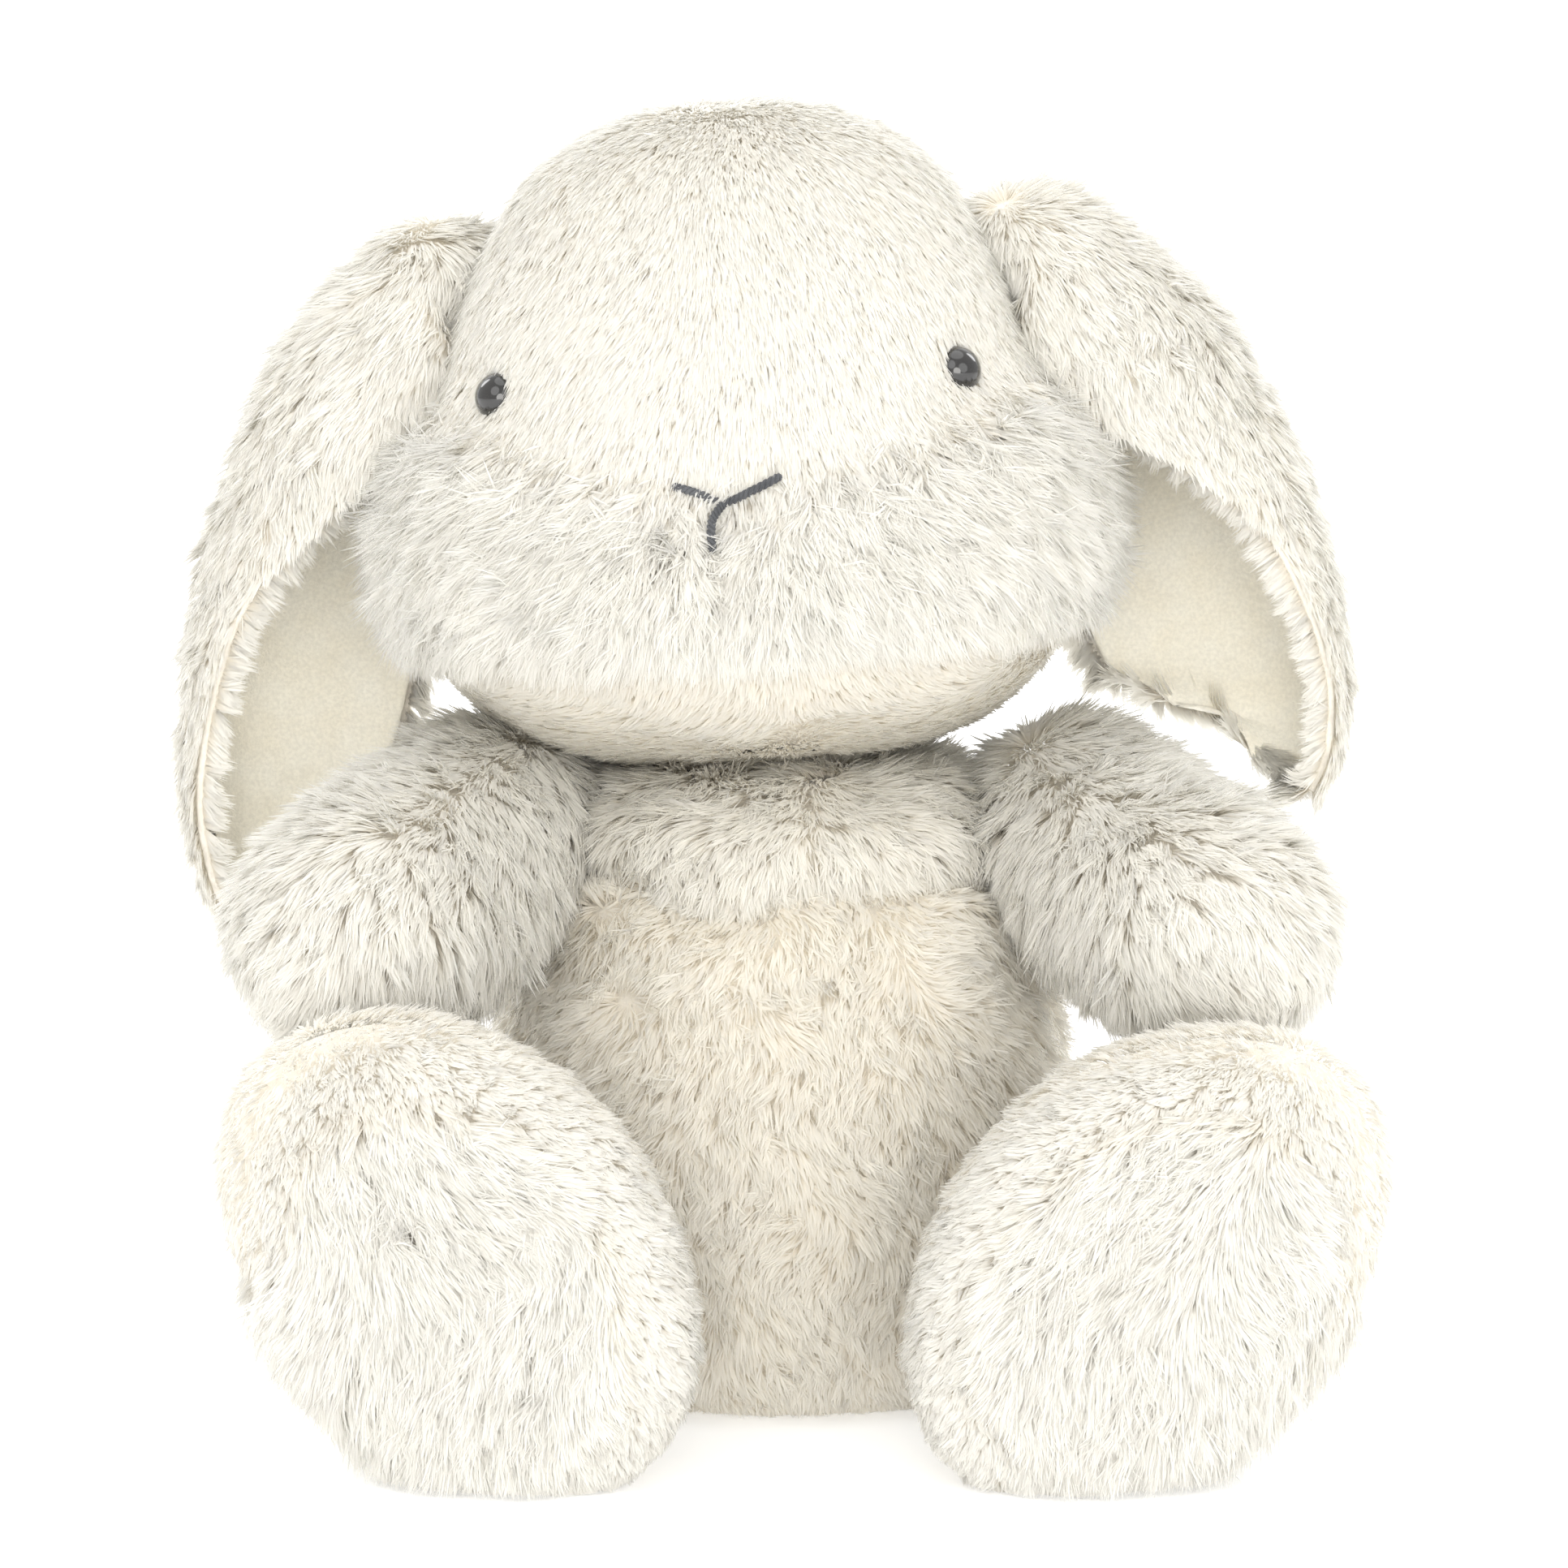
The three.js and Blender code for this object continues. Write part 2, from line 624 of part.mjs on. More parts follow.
// A closed slab from two grids of points, with a rim between them.
function slab(points, along, across, side) {
  const row = across + 1;
  const face = row * (along + 1);
  const index = [];
  const quad = (a, b, c, d) => index.push(...(side > 0 ? [a, b, c, a, c, d] : [a, c, b, a, d, c]));
  for (let i = 0; i < along; i++) {
    for (let j = 0; j < across; j++) {
      const a = i * row + j;
      quad(a, a + 1, a + 1 + row, a + row);
      quad(face + a, face + a + row, face + a + 1 + row, face + a + 1);
    }
    const first = i * row;
    const last = first + across;
    quad(first, first + row, face + first + row, face + first);
    quad(last, face + last, face + last + row, last + row);
  }
  for (let j = 0; j < across; j++) {
    const tip = along * row + j;
    quad(j, face + j, face + j + 1, j + 1);
    quad(tip, tip + 1, face + tip + 1, face + tip);
  }
  const geometry = new THREE.BufferGeometry();
  geometry.setAttribute("position", new THREE.Float32BufferAttribute(points, 3));
  geometry.setIndex(index);
  return geometry;
}

function makeEar({ name, side }) {
  const clearance = solid(lofted(headRows), -JOINT_GAP);
  const fur = earLayer(side, 0, EAR_FUR).subtract(clearance);
  const lining = earLayer(side, -SEAM - EAR_LINING, -SEAM).subtract(clearance);
  addToHead(name + "_ear_fur", fur, whiteFur);
  addToHead(name + "_ear_lining", lining, velour);
}

SIDES.forEach(makeArm);
SIDES.forEach(makeLeg);
makeTorso();
makeTail();
makeLabel();
makeHead();
makeNose();
SIDES.forEach(makeEar);

export default toy;
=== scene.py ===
# %% [markdown]
# # A seated stuffed bunny
#
# Plush is two things: a stuffed cloth skin that gives the toy its shape, and a pile of fine
# fibres that stands on that skin. Each body here gets both. The skins are smooth numpy surfaces.
# The pile is real geometry, many thousands of narrow tapered blades, because a fur shader alone
# has no silhouette and hair particles would be lost when the toy is exported.

import bpy
import numpy as np
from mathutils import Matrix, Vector


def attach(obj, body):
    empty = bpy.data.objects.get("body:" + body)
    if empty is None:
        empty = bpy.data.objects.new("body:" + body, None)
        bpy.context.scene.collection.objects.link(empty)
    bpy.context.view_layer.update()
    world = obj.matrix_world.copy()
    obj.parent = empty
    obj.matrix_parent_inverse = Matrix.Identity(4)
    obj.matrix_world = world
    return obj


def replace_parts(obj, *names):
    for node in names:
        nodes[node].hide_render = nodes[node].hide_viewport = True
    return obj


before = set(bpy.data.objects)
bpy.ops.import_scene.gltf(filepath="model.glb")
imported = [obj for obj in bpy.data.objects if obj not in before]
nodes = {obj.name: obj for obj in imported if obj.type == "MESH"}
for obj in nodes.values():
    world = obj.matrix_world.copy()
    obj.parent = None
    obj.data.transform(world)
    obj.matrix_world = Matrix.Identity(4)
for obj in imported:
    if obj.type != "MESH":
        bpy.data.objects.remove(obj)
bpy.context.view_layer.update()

MM = 0.001
SHARE = 1.0

# %% [markdown]
# ## The arithmetic of surfaces
#
# A surface is a grid of points: rings along it, and points around each ring. A handful of rows
# gives the sections, and a smooth curve runs through them, so that a body is shaped by a few
# sizes and still has no corners. All lengths are in millimetres until a mesh is made.


# %% Smooth curves and grids
def through(rows, t):
    """A smooth curve through the rows, at positions t from 0 at the first to 1 at the last.

    Between two rows it is the Catmull-Rom cubic, whose slope at each row is half the step
    between that row's two neighbours.
    """
    rows = np.asarray(rows, float)
    s = np.clip(t, 0, 1) * (len(rows) - 1)
    i = np.minimum(s.astype(int), len(rows) - 2)
    f = (s - i)[..., None]
    before, here = rows[np.maximum(i - 1, 0)], rows[i]
    after, beyond = rows[i + 1], rows[np.minimum(i + 2, len(rows) - 1)]
    return 0.5 * (
        2 * here
        + (after - before) * f
        + (2 * before - 5 * here + 4 * after - beyond) * f**2
        + (3 * here - before - 3 * after + beyond) * f**3
    )


def unit(v):
    return v / np.maximum(np.linalg.norm(v, axis=-1, keepdims=True), 1e-9)


def smooth(x, low, high):
    """0 below low, 1 above high, and an S-shaped rise between them."""
    t = np.clip((x - low) / (high - low), 0, 1)
    return t * t * (3 - 2 * t)


def bump(p, centre, size):
    """A soft hill: 1 at the centre, falling off as a bell of that size along x, y and z."""
    d = (p - np.asarray(centre, float)) / np.asarray(size, float)
    return np.exp(-(d**2).sum(-1))


def swirl(p, size, seed):
    """A smooth random vector at each point: the mean of eight waves of about that wavelength."""
    waves = np.random.default_rng(seed)
    ways = waves.normal(size=(3, 8)) * (2 * np.pi / size / 1.7)
    phase = waves.uniform(0, 2 * np.pi, (8, 3))
    return np.sin((p @ ways)[..., None] + phase).mean(-2) * 1.6


def facing(grid, closed):
    """The outward direction at each grid point: the mean of the four cells that meet there."""
    g = np.concatenate([grid, grid[:, :1]], 1) if closed else grid
    a, b, c, d = g[:-1, :-1], g[:-1, 1:], g[1:, 1:], g[1:, :-1]
    cell = np.cross(c - a, d - b)
    cell = np.pad(cell, ((1, 1), (0, 0), (0, 0)), mode="edge")
    cell = np.pad(cell, ((0, 0), (1, 1), (0, 0)), mode="wrap" if closed else "edge")
    return unit(cell[:-1, :-1] + cell[:-1, 1:] + cell[1:, :-1] + cell[1:, 1:])[:, : grid.shape[1]]


def raised(grid, closed, height):
    """The grid with each point moved outwards by height(points)."""
    return grid + facing(grid, closed) * height(grid)[..., None]


# %% From grids to meshes
def make_object(name, verts, faces, material):
    mesh = bpy.data.meshes.new(name)
    mesh.from_pydata((np.asarray(verts) * MM).tolist(), [], faces)
    mesh.validate()
    mesh.polygons.foreach_set("use_smooth", np.ones(len(mesh.polygons), bool))
    mesh.materials.append(material)
    obj = bpy.data.objects.new(name, mesh)
    bpy.context.collection.objects.link(obj)
    return obj


def closed_skin(name, grid, material):
    """A closed body from rings of points. The first and last rings are drawn in to one point."""
    rings, around, _ = grid.shape
    verts = np.vstack([grid[1:-1].reshape(-1, 3), grid[0].mean(0), grid[-1].mean(0)])
    j = np.arange(around)
    k = (j + 1) % around
    i = np.arange(rings - 3)[:, None] * around
    quads = np.stack([i + j, i + k, i + around + k, i + around + j], -1).reshape(-1, 4)
    low, high = len(verts) - 2, len(verts) - 1
    top = (rings - 3) * around
    first = np.stack([np.full(around, low), k, j], 1)
    last = np.stack([np.full(around, high), top + j, top + k], 1)
    return make_object(name, verts, quads.tolist() + first.tolist() + last.tolist(), material)


def open_sheet(name, grid, material):
    rows, across, _ = grid.shape
    i = np.arange(rows - 1)[:, None] * across
    j = np.arange(across - 1)
    quads = np.stack([i + j, i + j + 1, i + j + 1 + across, i + j + across], -1).reshape(-1, 4)
    return make_object(name, grid.reshape(-1, 3), quads.tolist(), material)


# %% [markdown]
# ## Pile
#
# A blade of pile starts along one direction and bends over into another. It is a flat ribbon that
# faces outwards and tapers to a point. Real pile sticks together at its tips, so blades are drawn
# towards the nearest of a few hundred tuft centres, and a whole tuft leans one way at random.
# Every blade carries two numbers in its UV map: how creamy it is, which holds real cream and
# painted shade alike, and how far along it is.


# %% Grow a pile
def scatter(grid, closed, count, seed, weight=None):
    """count points spread evenly by area over a grid: places, outward directions, and the row
    and column of each as shares from 0 to 1. weight(points) says how thickly they stand at each
    place. It moves points about and leaves their number as it is."""
    draw = np.random.default_rng(seed)
    out = facing(grid, closed)
    g = np.concatenate([grid, grid[:, :1]], 1) if closed else grid
    out = np.concatenate([out, out[:, :1]], 1) if closed else out
    corner = [g[:-1, :-1], g[:-1, 1:], g[1:, 1:], g[1:, :-1]]
    area = np.linalg.norm(np.cross(corner[2] - corner[0], corner[3] - corner[1]), axis=2)
    if weight is not None:
        area = area * weight((corner[0] + corner[2]) / 2)
    pick = draw.choice(area.size, int(count * SHARE), p=(area / area.sum()).ravel())
    i, j = np.divmod(pick, area.shape[1])
    s, t = draw.random((2, len(pick), 1))
    share = [(1 - s) * (1 - t), (1 - s) * t, s * t, s * (1 - t)]
    places = sum(w * c[i, j] for w, c in zip(share, corner))
    corner = [out[:-1, :-1], out[:-1, 1:], out[1:, 1:], out[1:, :-1]]
    ways = unit(sum(w * c[i, j] for w, c in zip(share, corner)))
    rows = (i + s[:, 0]) / area.shape[0]
    columns = (j + t[:, 0]) / area.shape[1]
    return places, ways, rows, columns


AT_ONCE = 4000  # points compared with every centre in one step
WIDEST = 0.45  # how far along a blade it is widest


def nearest(points, centres):
    """The index of the centre nearest to each point, worked out a few thousand at a time. The
    squared distance is |c|^2 - 2 p.c, plus a part that is the same for every centre."""
    far = (centres**2).sum(1)
    parts = np.array_split(points, max(1, len(points) // AT_ONCE))
    return np.concatenate([np.argmin(far - 2 * part @ centres.T, 1) for part in parts])


def pile(
    name, roots, out, comb, length, cream_and_shade, material, seed,
    *, lean, bend, gather, tufts, tousle, wild, width, floor=None,
):
    """A pile of blades as one mesh.

    Each blade is a long kite of two triangles, folded where it is widest. Its middle line is
    p(s) = root + length * (s * start + s^2 / 2 * (end - start)), where start leans from the
    outward direction towards the comb by `lean`, and end leans by `bend`. Then the tip is drawn
    towards its tuft's centre by gather * s^2. `tufts` is the share of blades that lead a tuft,
    `tousle` how far whole tufts stray and `wild` how far single blades do.
    """
    draw = np.random.default_rng(seed)
    n = len(roots)
    across = unit(comb - out * (comb * out).sum(1, keepdims=True))
    tuft_of = draw.choice(n, max(8, int(n * tufts / SHARE)), replace=False)
    mine = tuft_of[nearest(roots, roots[tuft_of])]
    tuft_lean = draw.normal(size=(n, 3))[mine]
    own_lean = draw.normal(size=(n, 3))
    lie = across + tousle * tuft_lean + wild * own_lean
    lie = unit(lie - out * np.minimum((lie * out).sum(1, keepdims=True), 0))
    long = (length * draw.uniform(0.7, 1.1, n) * draw.uniform(0.85, 1.15, n)[mine])[:, None]
    start = unit(out * (1 - lean) + lie * lean)
    end = unit(out * (1 - bend) + lie * bend)
    pull = (roots[mine] - roots) * gather
    s = np.array([0.0, WIDEST, 1.0])[:, None, None]
    spine = roots + long * (s * start + s**2 / 2 * (end - start)) + pull * s**2
    if floor is not None:
        spine[..., 2] = np.maximum(spine[..., 2], floor)
    run = unit(spine[2] - spine[0])
    side = unit(np.cross(run, out + 0.4 * draw.normal(size=(n, 3))))
    side = side * np.sign((np.cross(side, run) * out).sum(1, keepdims=True) + 1e-9)
    half = (width * draw.uniform(0.7, 1.3, n))[:, None] / 2
    verts = np.stack([spine[0], spine[1] + side * half, spine[1] - side * half, spine[2]], 1)
    corners = np.arange(n)[:, None] * 4 + np.array([0, 1, 2, 2, 1, 3])
    # the tint carries real cream and painted shade alike
    tint = np.repeat((cream_and_shade + draw.normal(0, 0.05, n)).clip(0.01, 0.99)[:, None], 4, 1)
    up = np.tile([0.0, WIDEST, WIDEST, 1.0], (n, 1))
    soft = unit(out * 0.75 + (out - run * (out * run).sum(1, keepdims=True)))

    mesh = bpy.data.meshes.new(name)
    mesh.vertices.add(n * 4)
    mesh.vertices.foreach_set("co", (verts.reshape(-1, 3) * MM).astype(np.float32).ravel())
    mesh.loops.add(corners.size)
    mesh.loops.foreach_set("vertex_index", corners.astype(np.int32).ravel())
    mesh.polygons.add(n * 2)
    mesh.polygons.foreach_set("loop_start", np.arange(0, n * 6, 3, dtype=np.int32))
    mesh.polygons.foreach_set("use_smooth", np.ones(n * 2, bool))
    mesh.update(calc_edges=True)
    uv = mesh.uv_layers.new(name="blade")
    flat = np.stack([tint.ravel(), up.ravel()], 1)[corners.ravel()]
    uv.data.foreach_set("uv", flat.astype(np.float32).ravel())
    mesh.normals_split_custom_set_from_vertices(np.repeat(soft, 4, 0).tolist())
    mesh.materials.append(material)
    obj = bpy.data.objects.new(name, mesh)
    bpy.context.collection.objects.link(obj)
    print(f"{name}: {n} blades, {n * 2} triangles")
    return obj


# %% [markdown]
# ## Materials
#
# White pile is bright because light goes through every fibre and on to the next, so its material
# lets light through as well as back, and its shadows turn warm. The foot of each blade is painted
# a little creamier than its tip, as painted shade deep in the pile. Skins show only in partings,
# as a deep beige that is painted shade at the bottom of the pile.


# %% Materials
def new_material(name):
    material = bpy.data.materials.new(name)
    material.use_nodes = True
    tree = material.node_tree
    return material, tree, tree.nodes["Principled BSDF"], tree.nodes["Material Output"]


def ramp(tree, source, stops):
    """A colour ramp fed by a socket. stops are (position, colour)."""
    node = tree.nodes.new("ShaderNodeValToRGB")
    for extra, (at, colour) in enumerate(stops):
        stop = node.color_ramp.elements[extra] if extra < 2 else node.color_ramp.elements.new(at)
        stop.position = at
        stop.color = (*colour, 1)
    tree.links.new(source, node.inputs["Fac"])
    return node.outputs["Color"]


def mixed(tree, blend, factor, a, b):
    node = tree.nodes.new("ShaderNodeMix")
    node.data_type = "RGBA"
    node.blend_type = blend
    for socket, value in ((node.inputs[0], factor), (node.inputs[6], a), (node.inputs[7], b)):
        if isinstance(value, bpy.types.NodeSocket):
            tree.links.new(value, socket)
        else:
            socket.default_value = value
    return node.outputs[2]


def noise(tree, scale):
    place = tree.nodes.new("ShaderNodeTexCoord")
    node = tree.nodes.new("ShaderNodeTexNoise")
    node.inputs["Scale"].default_value = scale
    node.inputs["Detail"].default_value = 3.0
    tree.links.new(place.outputs["Object"], node.inputs["Vector"])
    return node.outputs["Fac"]


def raise_by(tree, height, strength, distance, shader):
    node = tree.nodes.new("ShaderNodeBump")
    node.inputs["Strength"].default_value = strength
    node.inputs["Distance"].default_value = distance
    tree.links.new(height, node.inputs["Height"])
    tree.links.new(node.outputs["Normal"], shader.inputs["Normal"])


def fur_material():
    material, tree, shader, output = new_material("white_pile")
    uv = tree.nodes.new("ShaderNodeUVMap")
    uv.uv_map = "blade"
    parts = tree.nodes.new("ShaderNodeSeparateXYZ")
    tree.links.new(uv.outputs["UV"], parts.inputs["Vector"])
    along = parts.outputs["Y"]
    # each ramp runs from root to tip; the darker, creamier roots are painted shade deep in the pile
    white = ramp(tree, along, [(0.0, (0.975, 0.935, 0.85)), (0.5, (0.988, 0.98, 0.95))])
    cream_and_shade = ramp(tree, along, [(0.0, (0.975, 0.915, 0.80)), (0.6, (0.99, 0.97, 0.915))])
    colour = mixed(tree, "MIX", parts.outputs["X"], white, cream_and_shade)
    tree.links.new(colour, shader.inputs["Base Color"])
    shader.inputs["Roughness"].default_value = 0.55
    shader.inputs["Specular IOR Level"].default_value = 0.25
    through_it = tree.nodes.new("ShaderNodeBsdfTranslucent")
    tree.links.new(colour, through_it.inputs["Color"])
    both = tree.nodes.new("ShaderNodeMixShader")
    both.inputs["Fac"].default_value = 0.58
    tree.links.new(shader.outputs["BSDF"], both.inputs[1])
    tree.links.new(through_it.outputs["BSDF"], both.inputs[2])
    tree.links.new(both.outputs["Shader"], output.inputs["Surface"])
    return material


def cloth_material(name, low, high, scale, sheen=0.3):
    """Cloth: two noises, a broad one for the shade and a fine one for the shade and the nap."""
    material, tree, shader, _ = new_material(name)
    broad = ramp(tree, noise(tree, scale * 0.08), [(0.3, low), (0.7, high)])
    fine = ramp(tree, noise(tree, scale), [(0.35, (0.9, 0.9, 0.9)), (0.65, (1, 1, 1))])
    tree.links.new(mixed(tree, "MULTIPLY", 1.0, broad, fine), shader.inputs["Base Color"])
    shader.inputs["Roughness"].default_value = 0.9
    shader.inputs["Sheen Weight"].default_value = sheen
    raise_by(tree, noise(tree, scale * 1.3), 0.5, 0.0004, shader)
    return material


def plastic_material(name, low, high, roughness, coat):
    material, tree, shader, _ = new_material(name)
    colour = ramp(tree, noise(tree, 300), [(0.3, low), (0.7, high)])
    tree.links.new(colour, shader.inputs["Base Color"])
    shader.inputs["Roughness"].default_value = roughness
    shader.inputs["Coat Weight"].default_value = coat
    shader.inputs["Coat Roughness"].default_value = 0.04
    return material


fur = fur_material()
# the backing's beige is painted shade: it shows only in partings, as the warm shade deep in the
# pile
skin = cloth_material("knitted_backing_painted_shade", (0.90, 0.85, 0.76), (0.94, 0.90, 0.82), 900)
velour = cloth_material("ear_velour", (0.95, 0.90, 0.77), (0.98, 0.95, 0.85), 1500, sheen=0.6)
fibre = cloth_material("fibre_fill", (0.82, 0.82, 0.80), (0.92, 0.92, 0.90), 300)
tape = cloth_material("label_tape", (0.86, 0.86, 0.84), (0.93, 0.93, 0.92), 1200)
thread = cloth_material(
    "dark_thread", (0.055, 0.058, 0.065), (0.12, 0.125, 0.135), 2500, sheen=0.2
)
pale_thread = cloth_material("pale_thread", (0.74, 0.68, 0.54), (0.86, 0.81, 0.69), 2500)
gloss = plastic_material(
    "eye_plastic", (0.004, 0.004, 0.005), (0.012, 0.011, 0.010), 0.12, 1.0
)
rim_plastic = plastic_material("eye_rim", (0.30, 0.27, 0.16), (0.42, 0.39, 0.25), 0.35, 0.4)
washer = plastic_material(
    "washer_plastic", (0.70, 0.70, 0.68), (0.80, 0.80, 0.78), 0.5, 0.0
)


# %% [markdown]
# ## Head
#
# The head is a rounded pear lying wide across the cheeks. It is worked out upright and facing
# straight ahead, and then leans and turns as a stuffed head does on a soft neck. The cheeks swell,
# the eyes are pulled in by their shanks, and the nose stitch makes a dimple.

# %% Head surface
NECK_Z = 115.0
HEAD_SHIFT, HEAD_LEAN, HEAD_TURN = 4.0, np.radians(3.5), np.radians(3.0)
EYE_X, EYE_Z = 42.3, 189.3
# for each ring: height, half width, half depth and the y of its middle
HEAD_ROWS = [
    (119.0, 0.1, 0.1, -6),
    (120.2, 27.0, 18.5, -7),
    (127.1, 45.5, 36, -8),
    (139.9, 57.8, 49, -8),
    (157.3, 63.6, 54, -6),
    (173.5, 61.2, 53, -4),
    (190.9, 54.8, 49.3, -2),
    (209.5, 46.9, 42.4, 0),
    (227.5, 35.2, 31.0, 2),
    (236.3, 18.0, 15.5, 3),
    (238.3, 0.1, 0.1, 3),
]


def lean(p, direction=False):
    """Turns points (or directions) of the upright head by its small turn, then by its lean."""
    q = np.array(p, float)
    if not direction:
        q[..., 2] -= NECK_Z
    c, s = np.cos(HEAD_TURN), -np.sin(HEAD_TURN)
    q[..., 0], q[..., 1] = q[..., 0] * c - q[..., 1] * s, q[..., 0] * s + q[..., 1] * c
    c, s = np.cos(HEAD_LEAN), -np.sin(HEAD_LEAN)
    q[..., 0], q[..., 2] = q[..., 0] * c + q[..., 2] * s, -q[..., 0] * s + q[..., 2] * c
    if not direction:
        q += np.array([-HEAD_SHIFT, 0, NECK_Z])
    return q


def oval_grid(rows, rings, around):
    """Rings of oval sections. Each row is a height, a half width, a half depth and a middle y."""
    t = np.linspace(0, 1, rings)[:, None] + np.zeros((1, around))
    a = np.linspace(0, 2 * np.pi, around, endpoint=False)[None, :] + np.zeros((rings, 1))
    z, width, depth, y = np.moveaxis(through(rows, t), -1, 0)
    z = np.clip(z, rows[0][0], rows[-1][0])
    width, depth = np.maximum(width, 0.05), np.maximum(depth, 0.05)
    return np.stack([width * np.cos(a), y + depth * np.sin(a), z], -1)


def both_sides(p, centre, size):
    """The same soft hill on the left and on the right."""
    x, y, z = centre
    return bump(p, (-x, y, z), size) + bump(p, (x, y, z), size)


def head_height(p):
    swell = 2.0 * both_sides(p, (40, -36, 160), (20, 20, 16))
    puff = 2.2 * both_sides(p, (14, -58, 156), (11, 14, 8))
    eyes = both_sides(p, (EYE_X, -25, EYE_Z), (8, 18, 8))
    nose = bump(p, (0, -60, 166), (9, 14, 5)) + 0.6 * bump(p, (0, -60, 158), (3, 14, 7))
    return swell + puff - 2.6 * eyes - 2.4 * nose + 0.5 * swirl(p, 38, 3)[..., 0]


def surface_at(grid, x, z):
    """The front-most point of a grid near an x and a height, and its outward direction."""
    flat, out = grid.reshape(-1, 3), facing(grid, True).reshape(-1, 3)
    gap = (flat[:, 0] - x) ** 2 + (flat[:, 2] - z) ** 2 + np.where(flat[:, 1] > 0, 1e6, 0)
    near = np.argsort(gap)[:12]
    weight = (1 / (gap[near] + 0.05))[:, None]
    place = (flat[near] * weight).sum(0) / weight.sum()
    return place, unit((out[near] * weight).sum(0))


head_grid = raised(oval_grid(HEAD_ROWS, 80, 120), True, head_height)
PILE_FOOT = 1.5  # the skins lie this far inside the surface that the pile grows from


def sunk(p):
    """The same depth everywhere: the foot of the pile."""
    return 0 * p[..., 0] - PILE_FOOT


head_skin = closed_skin("head_skin", lean(raised(head_grid, True, sunk)), skin)
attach(head_skin, "head")
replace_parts(head_skin, "head_stuffing")
print("head skin:", len(head_skin.data.vertices), "points")

# %% [markdown]
# The head has four kinds of pile. The crown and forehead are short and brushed flat, the cheeks
# and muzzle carry long loose tufts, the chin is short and painted creamier as painted shade under
# the head, and the back is in between.
# One rule gives every blade its length from where it stands, so the kinds melt into each other.


# %% Head pile
def cheek_share(p):
    """1 in the long-haired band across the cheeks and muzzle, 0 above and below it."""
    top = 170 + 15 * np.clip(np.abs(p[..., 0]) / 58, 0, 1) ** 1.6
    return smooth(p[..., 2], 141, 150) * (1 - smooth(p[..., 2], top - 5, top + 5))


def head_pile(name, count, seed, keep, **look):
    roots, out, _, _ = scatter(head_grid, True, count, seed, keep)
    band = cheek_share(roots)
    back = smooth(roots[:, 1], 2, 16)
    chin = 1 - smooth(roots[:, 2], 138, 148)
    crown = smooth(roots[:, 2], 172, 186)
    wide, zero = roots[:, 0] / 60, np.zeros(len(roots))
    # combed outwards over the cheeks, and down and outwards elsewhere
    comb = np.stack([wide * 1.1, zero - 0.45 * (1 - back) + 0.3 * back, zero - 0.75], 1)
    comb = comb + 0.5 * swirl(roots, 26, 11) * band[:, None] + 0.2 * swirl(roots, 40, 12)
    length = 4.8 + 7.0 * band * (1 - back) + 3.4 * back - 0.8 * chin * (1 - back)
    near_nose = bump(roots, (4, -60, 170.5), (7, 16, 3))
    near_nose = near_nose + bump(roots, (-2.6, -60, 164), (3.4, 16, 6))
    near_eyes = both_sides(roots, (EYE_X, -27, EYE_Z), (7, 20, 7))
    length = length * (1 - 0.62 * np.clip(near_nose, 0, 1))
    length = length * (1 - 0.42 * np.clip(near_eyes, 0, 1))
    gusset = np.minimum(np.abs(np.abs(roots[:, 0]) - 21 - 0.1 * (roots[:, 2] - 170)), 6)
    length = length * (1 - 0.3 * np.exp(-((gusset / 1.5) ** 2)) * crown)
    # painted shade: creamier on the chin under the head, and a little below the crown, which the
    # top light misses
    cream_and_shade = 0.12 + 0.35 * chin + 0.06 * (1 - crown)
    clear = near_nose < 0.9
    roots, out, comb = roots[clear], out[clear], comb[clear]
    made = pile(
        name, lean(roots), lean(out, True), lean(comb, True),
        length[clear], cream_and_shade[clear], fur, seed, **look,
    )
    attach(made, "head")
    return made


forehead_fur = head_pile(
    "forehead_fur", 92000, 21,
    lambda p: (1 - cheek_share(p)) * (p[..., 1] < 12) * (p[..., 2] > 160) + 1e-9,
    lean=0.72, bend=0.96, gather=0.12, tufts=0.03, tousle=0.07, wild=0.1, width=0.42,
)
cheek_fur = head_pile(
    "cheek_fur", 92000, 22,
    lambda p: cheek_share(p) * (p[..., 1] < 12) + 1e-9,
    lean=0.45, bend=0.82, gather=0.42, tufts=0.035, tousle=0.34, wild=0.17, width=0.44,
)
chin_fur = head_pile(
    "chin_fur", 42000, 23,
    lambda p: (1 - cheek_share(p)) * (p[..., 1] < 12) * (p[..., 2] <= 160) + 1e-9,
    lean=0.7, bend=0.95, gather=0.15, tufts=0.03, tousle=0.09, wild=0.1, width=0.42,
)
head_back_fur = head_pile(
    "head_back_fur", 42000, 24,
    lambda p: (p[..., 1] >= 12) + 1e-9,
    lean=0.5, bend=0.85, gather=0.32, tufts=0.04, tousle=0.3, wild=0.14, width=0.42,
)
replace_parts(forehead_fur, "forehead_panel")
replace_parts(cheek_fur, "muzzle_panel")
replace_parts(chin_fur, "muzzle_panel")
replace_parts(head_back_fur, "head_back_panel")

# %% [markdown]
# ## Eyes
#
# Each eye is a safety eye: a glossy black dome on a thin flat flange, pulled into the pile by the
# washer behind the cloth. Blades around it lean over its edge, so it never shows as a full disc.


# %% Eyes
def turned(name, profile, place, way, material, around=40):
    """A turned piece: the profile's (radius, height) pairs swept round an axis that points along
    `way` from `place`. The first and last pairs lie on the axis."""
    profile = np.asarray(profile, float)
    a = np.linspace(0, 2 * np.pi, around, endpoint=False)
    side = unit(np.cross([0, 0, 1.0], way))
    top = np.cross(way, side)
    ring = side * np.cos(a)[:, None] + top * np.sin(a)[:, None]
    grid = place + profile[:, None, :1] * ring + profile[:, None, 1:] * way
    return closed_skin(name, grid, material)


def dome(radius, height, steps=14):
    a = np.linspace(0, np.pi / 2, steps)
    return list(zip(radius * np.cos(a), height * np.sin(a)))


